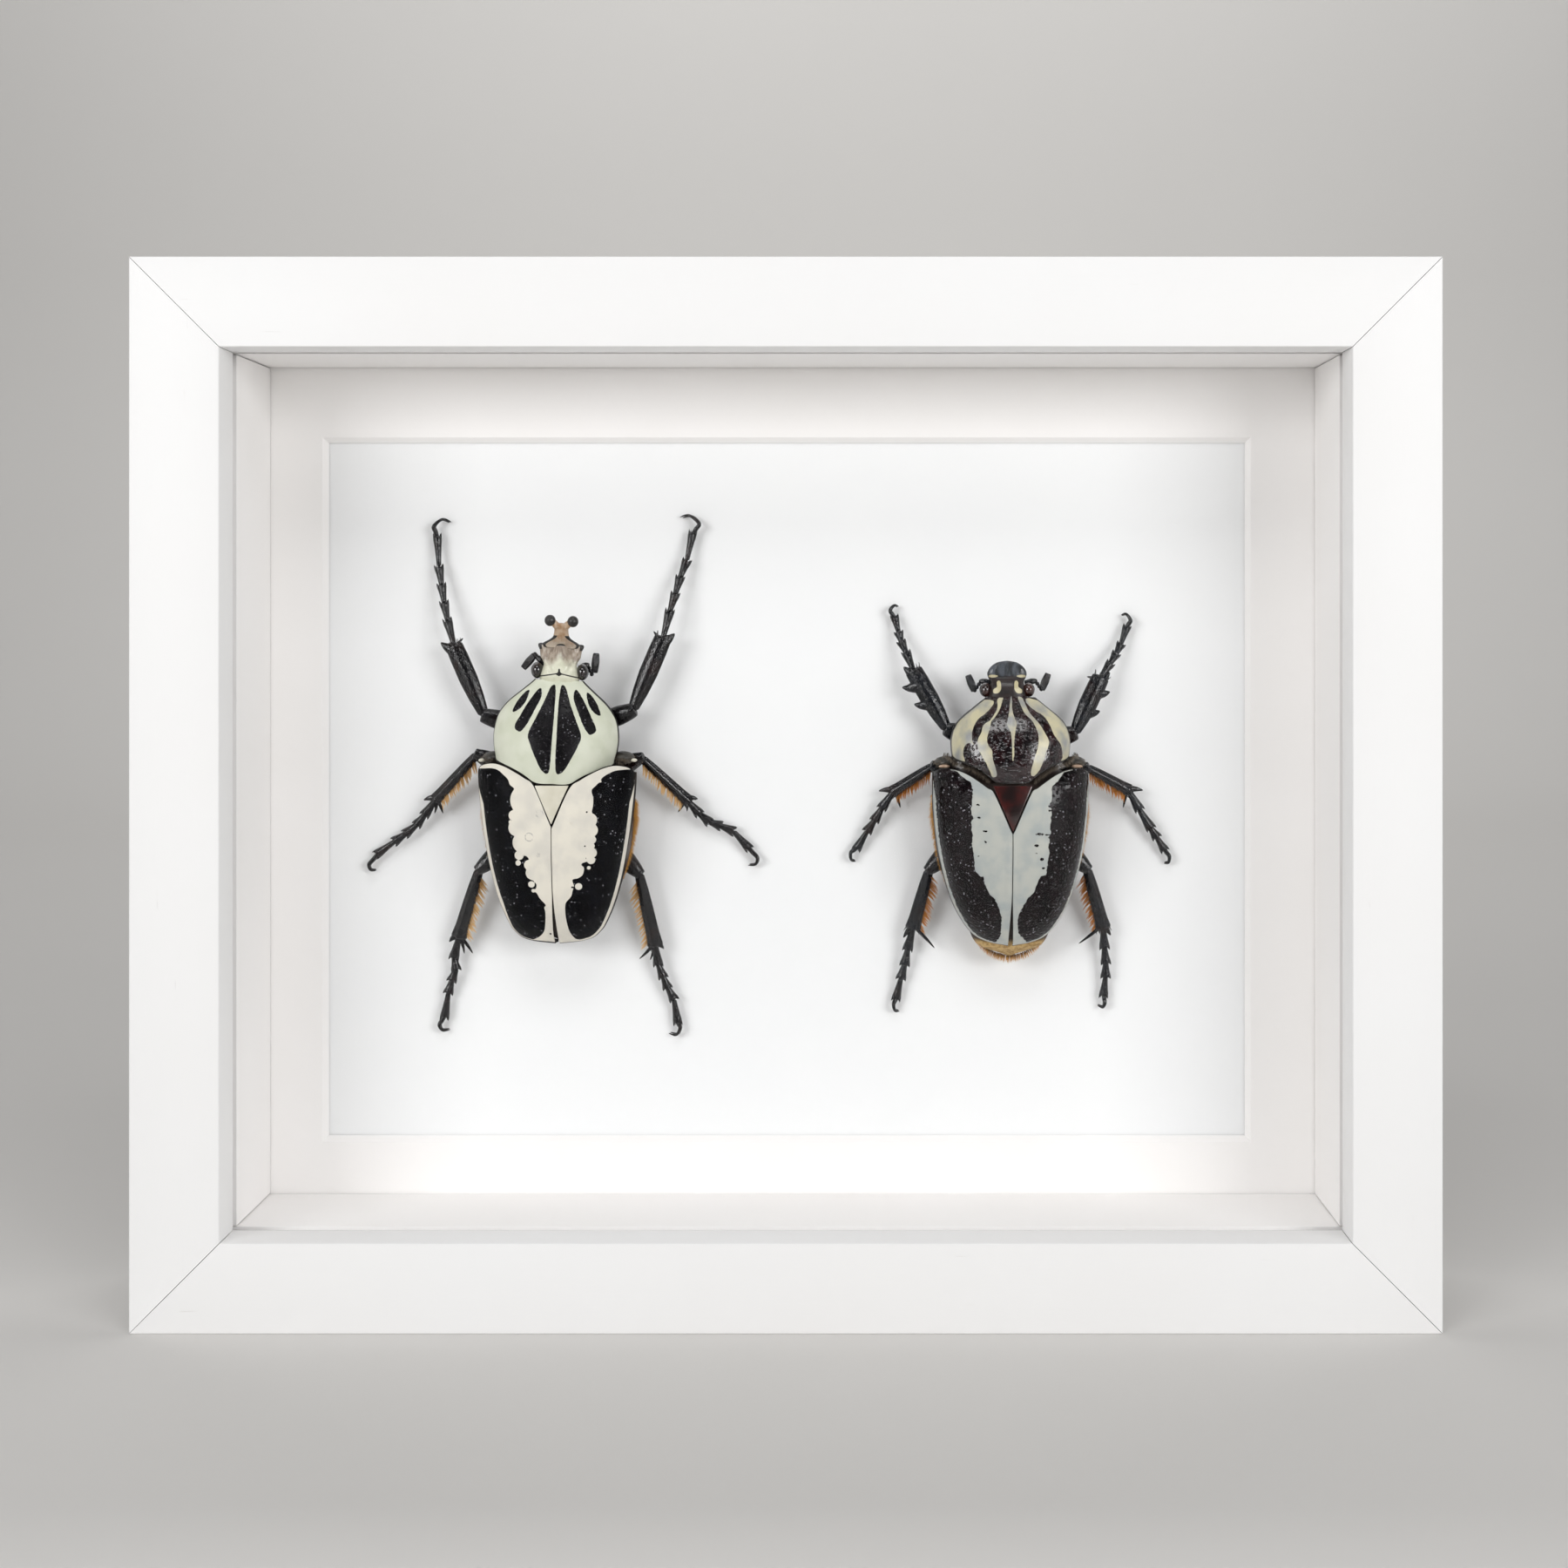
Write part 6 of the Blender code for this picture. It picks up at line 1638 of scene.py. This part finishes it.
F_HUMPS = (((15.2, -0.6), 2.6, 0.6), ((8.6, -36.0), 3.0, 0.5))


def model_female_cover(side, line):
    """The left (-1) or right cover, with its pale middle, torn along a line, and dark flecks in it."""
    piece = cover_sheet(side, F_COVER_ROWS, F_COVER_FRONT, -43.3, F_HUMPS)
    places, height, gap, run = edge_distance(piece, F_COVER_ROWS, -43.35, 60.0, F_COVER_FRONT)
    near = -side * 6.0
    zone = [Vector((near, 9.0)), Vector((line[0][0], 9.0))] + [Vector(point) for point in line]
    zone += [Vector((line[-1][0], -60.0)), Vector((near, -60.0))]
    mark = -inside(places, zone)
    flecks = [(1 - np.hypot((places[:, 0] - x) / a, (places[:, 1] - y) / b)) * min(a, b) * 1.3
              for x, y, a, b in F_FLECKS]
    mark = np.maximum(mark, np.max(flecks, axis=0))
    store(piece, "mark", np.minimum(mark, gap - pale_rim(places, 0.9)))
    # The rim number marks a dark line along the outer and front edges and over the rolled-under part: partly
    # dark margin, partly painted shade in the gaps and under the edge.
    store(piece, "rim", np.max([0.1 - height, 0.22 - gap, 0.25 - run], axis=0))
    thicken(piece)
    return piece


for name, side, line in (("left", -1, F_PALE_LEFT), ("right", 1, F_PALE_RIGHT)):
    cover = model_female_cover(side, line)
    keep(cover, f"female_wing_cover_{name}", FEMALE_COVER, FEMALE_SOLID, FEMALE_CARD)
plate = model_plate(F_COVER_ROWS, -0.4, -12.0, 5.0, SQUARE_COVER)
keep(plate, "female_scutellum", FEMALE_PLATE, FEMALE_SOLID, FEMALE_CARD)
print("female shells modelled")

# %% [markdown]
# ## The female's head, body and legs
# Her head ends in a broad rounded shovel of slate grey, with ivory cheeks and a dark red brow. Behind her
# wing covers the tan tail plate shows, with a fringe of rust-coloured hair.

# %% Female head
F_HEAD_ROWS = (
    (19.8, 4.6, 14.6, 11.6, 7.6), (22.4, 5.2, 15.0, 11.7, 7.6), (24.6, 4.8, 14.9, 11.8, 7.9),
    (26.2, 4.4, 14.2, 11.7, 8.5), (27.2, 4.9, 13.5, 11.6, 9.1), (28.4, 5.2, 13.0, 11.5, 9.6),
    (29.6, 4.75, 12.7, 11.4, 10.0), (30.5, 3.95, 12.5, 11.3, 10.2), (31.2, 2.9, 12.3, 11.3, 10.4),
    (31.8, 1.5, 12.1, 11.2, 10.6),
)
F_HEAD_SHIFT = Matrix.Translation((-0.8, 0.0, 0.0))
F_EYE = (5.7, 24.1, 12.2)
F_FEELERS = {
    "left": (((-4.4, 26.0, 10.6), (-7.6, 26.3, 10.0)), ((-7.6, 26.3, 10.0), (-9.2, 23.9, 9.6)),
             ((-9.3, 23.6, 9.6), (-11.0, 28.0, 9.4))),
    "right": (((3.8, 26.0, 10.6), (6.8, 26.4, 10.0)), ((6.8, 26.4, 10.0), (8.4, 24.2, 9.6)),
              ((8.5, 23.9, 9.6), (10.3, 28.4, 9.4))),
}
F_IVORY = (
    ((2.3, 27.8), (3.4, 28.15), (4.7, 28.05), (4.9, 27.45), (3.3, 27.35)),
    ((1.8, 26.3), (2.4, 26.7), (2.9, 26.1), (2.9, 25.0), (3.8, 24.3), (3.7, 23.3), (2.5, 23.3), (1.7, 24.4)),
)


def female_brow(x, y, z, turn):
    """A raised rim round the shovel and a hollow behind it."""
    if z > 0:
        z += 0.25 * ease(math.hypot(x, y - 28.6), 3.0, 3.6) * ease(y, 28.0, 30.0)
        z -= 0.3 * math.exp(-(((y - 27.3) / 0.7) ** 2))
    return x, z


def model_female_head():
    piece = closed_form(F_HEAD_ROWS, 2.6, 2.4, (72, 90), female_brow, 0.03)
    places = mesh_places(piece)
    folded = np.column_stack([np.abs(places[:, 0]), places[:, 1]])
    ivory = np.max([inside(folded, rounded(patch)) for patch in F_IVORY], axis=0)
    store(piece, "pale", ivory)
    store(piece, "mark", -np.ones(len(places)))
    store(piece, "tone", np.clip((places[:, 1] - 27.6) / 0.8, -0.6, 0.8))
    return piece


head = model_female_head()
keep(head, "female_head", FEMALE_HEAD, FEMALE_SOLID, FEMALE_CARD @ F_HEAD_SHIFT)
for name, side in (("left", -1), ("right", 1)):
    eye = ball((side * F_EYE[0], F_EYE[1], F_EYE[2]), (1.6, 1.9, 1.9), (32, 20))
    keep(eye, f"female_eye_{name}", FEMALE_EYE, FEMALE_SOLID, FEMALE_CARD @ F_HEAD_SHIFT, smooth=60)
    feeler = model_feeler(*F_FEELERS[name])
    keep(feeler, f"female_feeler_{name}", FEMALE_LEG, FEMALE_SOLID, FEMALE_CARD)
print("female head modelled")

# %% Female body, tail and legs
F_UNDER_ROWS = (
    (6.0, 9.0, 13.0, 8.0, 4.0), (2.6, 14.0, 16.6, 8.4, 2.2), (0.0, 17.2, 19.0, 8.6, 1.2),
    (-10.0, 19.8, 21.6, 8.8, 0.5), (-22.0, 18.6, 20.8, 8.6, 0.5), (-32.0, 14.6, 17.6, 8.6, 0.8),
    (-38.0, 11.2, 14.6, 8.6, 2.4), (-42.0, 9.6, 12.4, 8.6, 4.0), (-44.6, 7.2, 11.2, 8.4, 5.2),
    (-46.2, 3.8, 10.0, 8.2, 6.2), (-46.9, 1.4, 9.0, 8.0, 7.0),
)
F_BREAST_ROWS = (
    (1.0, 11.0, 12.6, 9.0, 3.6), (8.0, 13.8, 12.4, 9.0, 4.6), (14.0, 12.6, 12.4, 9.2, 5.0),
    (20.0, 7.0, 12.6, 10.4, 7.0),
)


def model_female_body():
    """Thorax and abdomen in one; the tone tells the material where the tail plate begins."""
    body = closed_form(F_UNDER_ROWS, 2.5, 2.2, (80, 160), ringed)
    places = mesh_places(body)
    store(body, "tone", np.clip((-places[:, 1] - 41.4) / 1.2, 0.0, 1.0))
    return body


def bare_and_haired():
    """Dark brown underside that turns to a tan, dusty tail plate."""
    material, tree, shader = new_material("dark_underside_and_tan_tail", 0.55)
    place = object_place(tree)
    dark = blend(tree, noise(tree, place, 2 * MM, 3.0), "#1E130E", "#3A2417")
    tan = blend(tree, remap(tree, noise(tree, place, 0.9 * MM, 4.0), 0.35, 0.7), "#C2A36B", "#94733F")
    tree.links.new(blend(tree, read(tree, "tone"), dark, tan), shader.inputs["Base Color"])
    relief(tree, shader, noise(tree, place, 0.5 * MM, 3.0), 0.06 * MM, 0.7)
    return material


keep(model_female_body(), "female_underbody", bare_and_haired(), FEMALE_SOLID, FEMALE_CARD)
breast = closed_form(F_BREAST_ROWS, 2.4, 2.2)
keep(breast, "female_breast", UNDERSIDE, FEMALE_SOLID, FEMALE_CARD)
build_legs(FEMALE_LEGS, "female", FEMALE_LEG, FEMALE_CARD, lambda part, name: FEMALE_SOLID)
print("female body and legs modelled")


# %% Comb the female
def tail_fringe(count, seed):
    """Hair round the edge of the tail plate, longest at its tip."""
    draw = random.Random(seed)
    strands = []
    for _ in range(count):
        turn = draw.uniform(-1.25, 1.25)
        root = Vector((8.6 * math.sin(turn), -39.4 - 7.0 * math.cos(turn), draw.uniform(6.4, 9.4)))
        lie = Vector((math.sin(turn) * 0.8, -1.0, draw.uniform(-0.3, 0.2))).normalized()
        length = draw.uniform(0.7, 1.3) * (1.7 - 0.5 * abs(turn))
        patch = ((turn + 1.3) / 2.8, root.z * 0.09)
        strands.append(Strand(root, lie, Vector((0.0, -0.1, -0.1)), length, patch))
    return strands


def gap_fuzz(side, count, seed):
    """Brown fuzz in the gap between her front shield and wing covers."""
    draw = random.Random(seed)
    strands = []
    for _ in range(count):
        x = draw.uniform(5.5, 17.5)
        y = at(F_SHIELD_REAR, x)[0] - draw.uniform(0.1, 1.0)
        z = at(F_COVER_ROWS, 2.0)[1] - 0.02 * x * x - draw.uniform(0.4, 1.2)
        lie = Vector((side * 0.4, -0.8, draw.uniform(0.0, 0.6))).normalized()
        strands.append(Strand(Vector((side * x, y, z)), lie, Vector((0.0, 0.0, -0.2)), draw.uniform(0.8, 1.5),
                              (x / 18.0, draw.random() * 0.9)))
    return strands


def build_female_hair():
    for index, name in enumerate(("mid_left", "mid_right", "hind_left", "hind_right")):
        strands = fringe(FEMALE_LEGS[name], 24, 14, 40 + index)
        keep_hair(strands, 0.065, f"female_fringe_{name}", RUST_HAIR, FEMALE_CARD)
    left = flank(F_COVER_ROWS, -1, -27.0, -3.0, 1100, 2.5, 51)
    right = flank(F_COVER_ROWS, 1, -24.0, -4.0, 1100, 2.5, 52)
    keep_hair(left + right, 0.06, "female_flank_hair", BROWN_HAIR, FEMALE_CARD)
    tail = tail_fringe(700, 53)
    keep_hair(tail, 0.055, "female_tail_hair", BROWN_HAIR, FEMALE_CARD)
    strands = gap_fuzz(-1, 400, 54) + gap_fuzz(1, 400, 55)
    strands += side_plate("female", "female_shell", (16.9, 5.0, 11.0), (3.0, 1.6, 3.0),
                          ((17.4, 4.1, 14.2), (1.5, 0.5, 0.8)), LOBE, (), FEMALE_CARD, 56)
    keep_hair(strands, 0.045, "female_gap_hair", GREY_HAIR, FEMALE_CARD)


build_female_hair()
for template in (CLUB, THORN):
    bpy.data.objects.remove(template)
print("female combed")

# %% [markdown]
# ## Floor, light and camera
# The case stands on a pale floor that curves up behind it. Two equal soft lights stand in front, left and
# right, far enough out that the glass doesn't mirror them, and give each beetle a pale shadow on both
# sides. A third hangs over the front for the upper edges, and one behind lights the backdrop. The lens
# sits to the right of and above the middle, level and square on, so the picture is shifted as with a
# technical camera.

# %% Stage
def build_floor():
    """A floor whose far edge sweeps up into a wall."""
    deselect()
    bpy.ops.mesh.primitive_grid_add(x_subdivisions=2, y_subdivisions=60, size=1.0)
    floor = bpy.context.object
    for vert in floor.data.vertices:
        run = (vert.co.y + 0.5) * 6.0 - 3.0
        rise = max(run - 1.2, 0.0)
        vert.co = (vert.co.x * 9.0, min(run, 1.2) + 0.6 * math.sin(min(rise / 0.6, 1.4)), 0.0)
        vert.co.z = 0.6 * (1 - math.cos(min(rise / 0.6, 1.4))) + max(rise - 0.84, 0.0)
    floor.name = "studio_floor"
    bpy.ops.object.shade_smooth()
    material, tree, shader = new_material("matt_studio_paper", 0.8)
    place = object_place(tree)
    tree.links.new(blend(tree, noise(tree, place, 0.4), "#DEDCD9", "#DAD8D5"), shader.inputs["Base Color"])
    floor.data.materials.append(material)


def soft_light(name, place, target, size, watts):
    lamp = bpy.data.lights.new(name, "AREA")
    lamp.shape = "RECTANGLE"
    lamp.size, lamp.size_y = size
    lamp.energy = watts
    light = bpy.data.objects.new(name, lamp)
    bpy.context.collection.objects.link(light)
    light.location = place
    light.rotation_euler = (Vector(target) - Vector(place)).to_track_quat("-Z", "Y").to_euler()


def build_lights():
    world = bpy.data.worlds.new("studio")
    bpy.context.scene.world = world
    world.use_nodes = True
    world.node_tree.nodes["Background"].inputs["Color"].default_value = colour("#F4F5F8")
    world.node_tree.nodes["Background"].inputs["Strength"].default_value = 0.08
    middle = (0.0, 0.0, 0.13)
    soft_light("key_left", (-0.92, -1.12, 0.48), middle, (0.75, 0.5), 9.4)
    soft_light("key_right", (0.92, -1.12, 0.44), middle, (0.75, 0.5), 9.4)
    soft_light("top", (0.0, -0.9, 1.3), middle, (0.9, 0.4), 5.2)
    soft_light("backdrop", (0.0, 0.7, 1.9), (0.0, 1.9, 0.6), (1.6, 0.5), 18.0)


def build_camera():
    lens = bpy.data.cameras.new("camera")
    lens.lens = 48.3
    lens.sensor_width = 36.0
    lens.shift_x = -0.0556
    lens.shift_y = -0.1111
    lens.clip_start = 0.01
    camera = bpy.data.objects.new("camera", lens)
    bpy.context.collection.objects.link(camera)
    camera.location = (0.0211, -0.548, 0.1791)
    camera.rotation_euler = (math.pi / 2, 0.0, 0.0)
    bpy.context.scene.camera = camera


build_floor()
build_lights()
build_camera()
bpy.context.scene.view_settings.view_transform = "Standard"
print("lights:", len(bpy.data.lights))

# %% Size of the finished model
print("solids reach", [[round(v, 4) for v in c] for c in CAD_BOX])
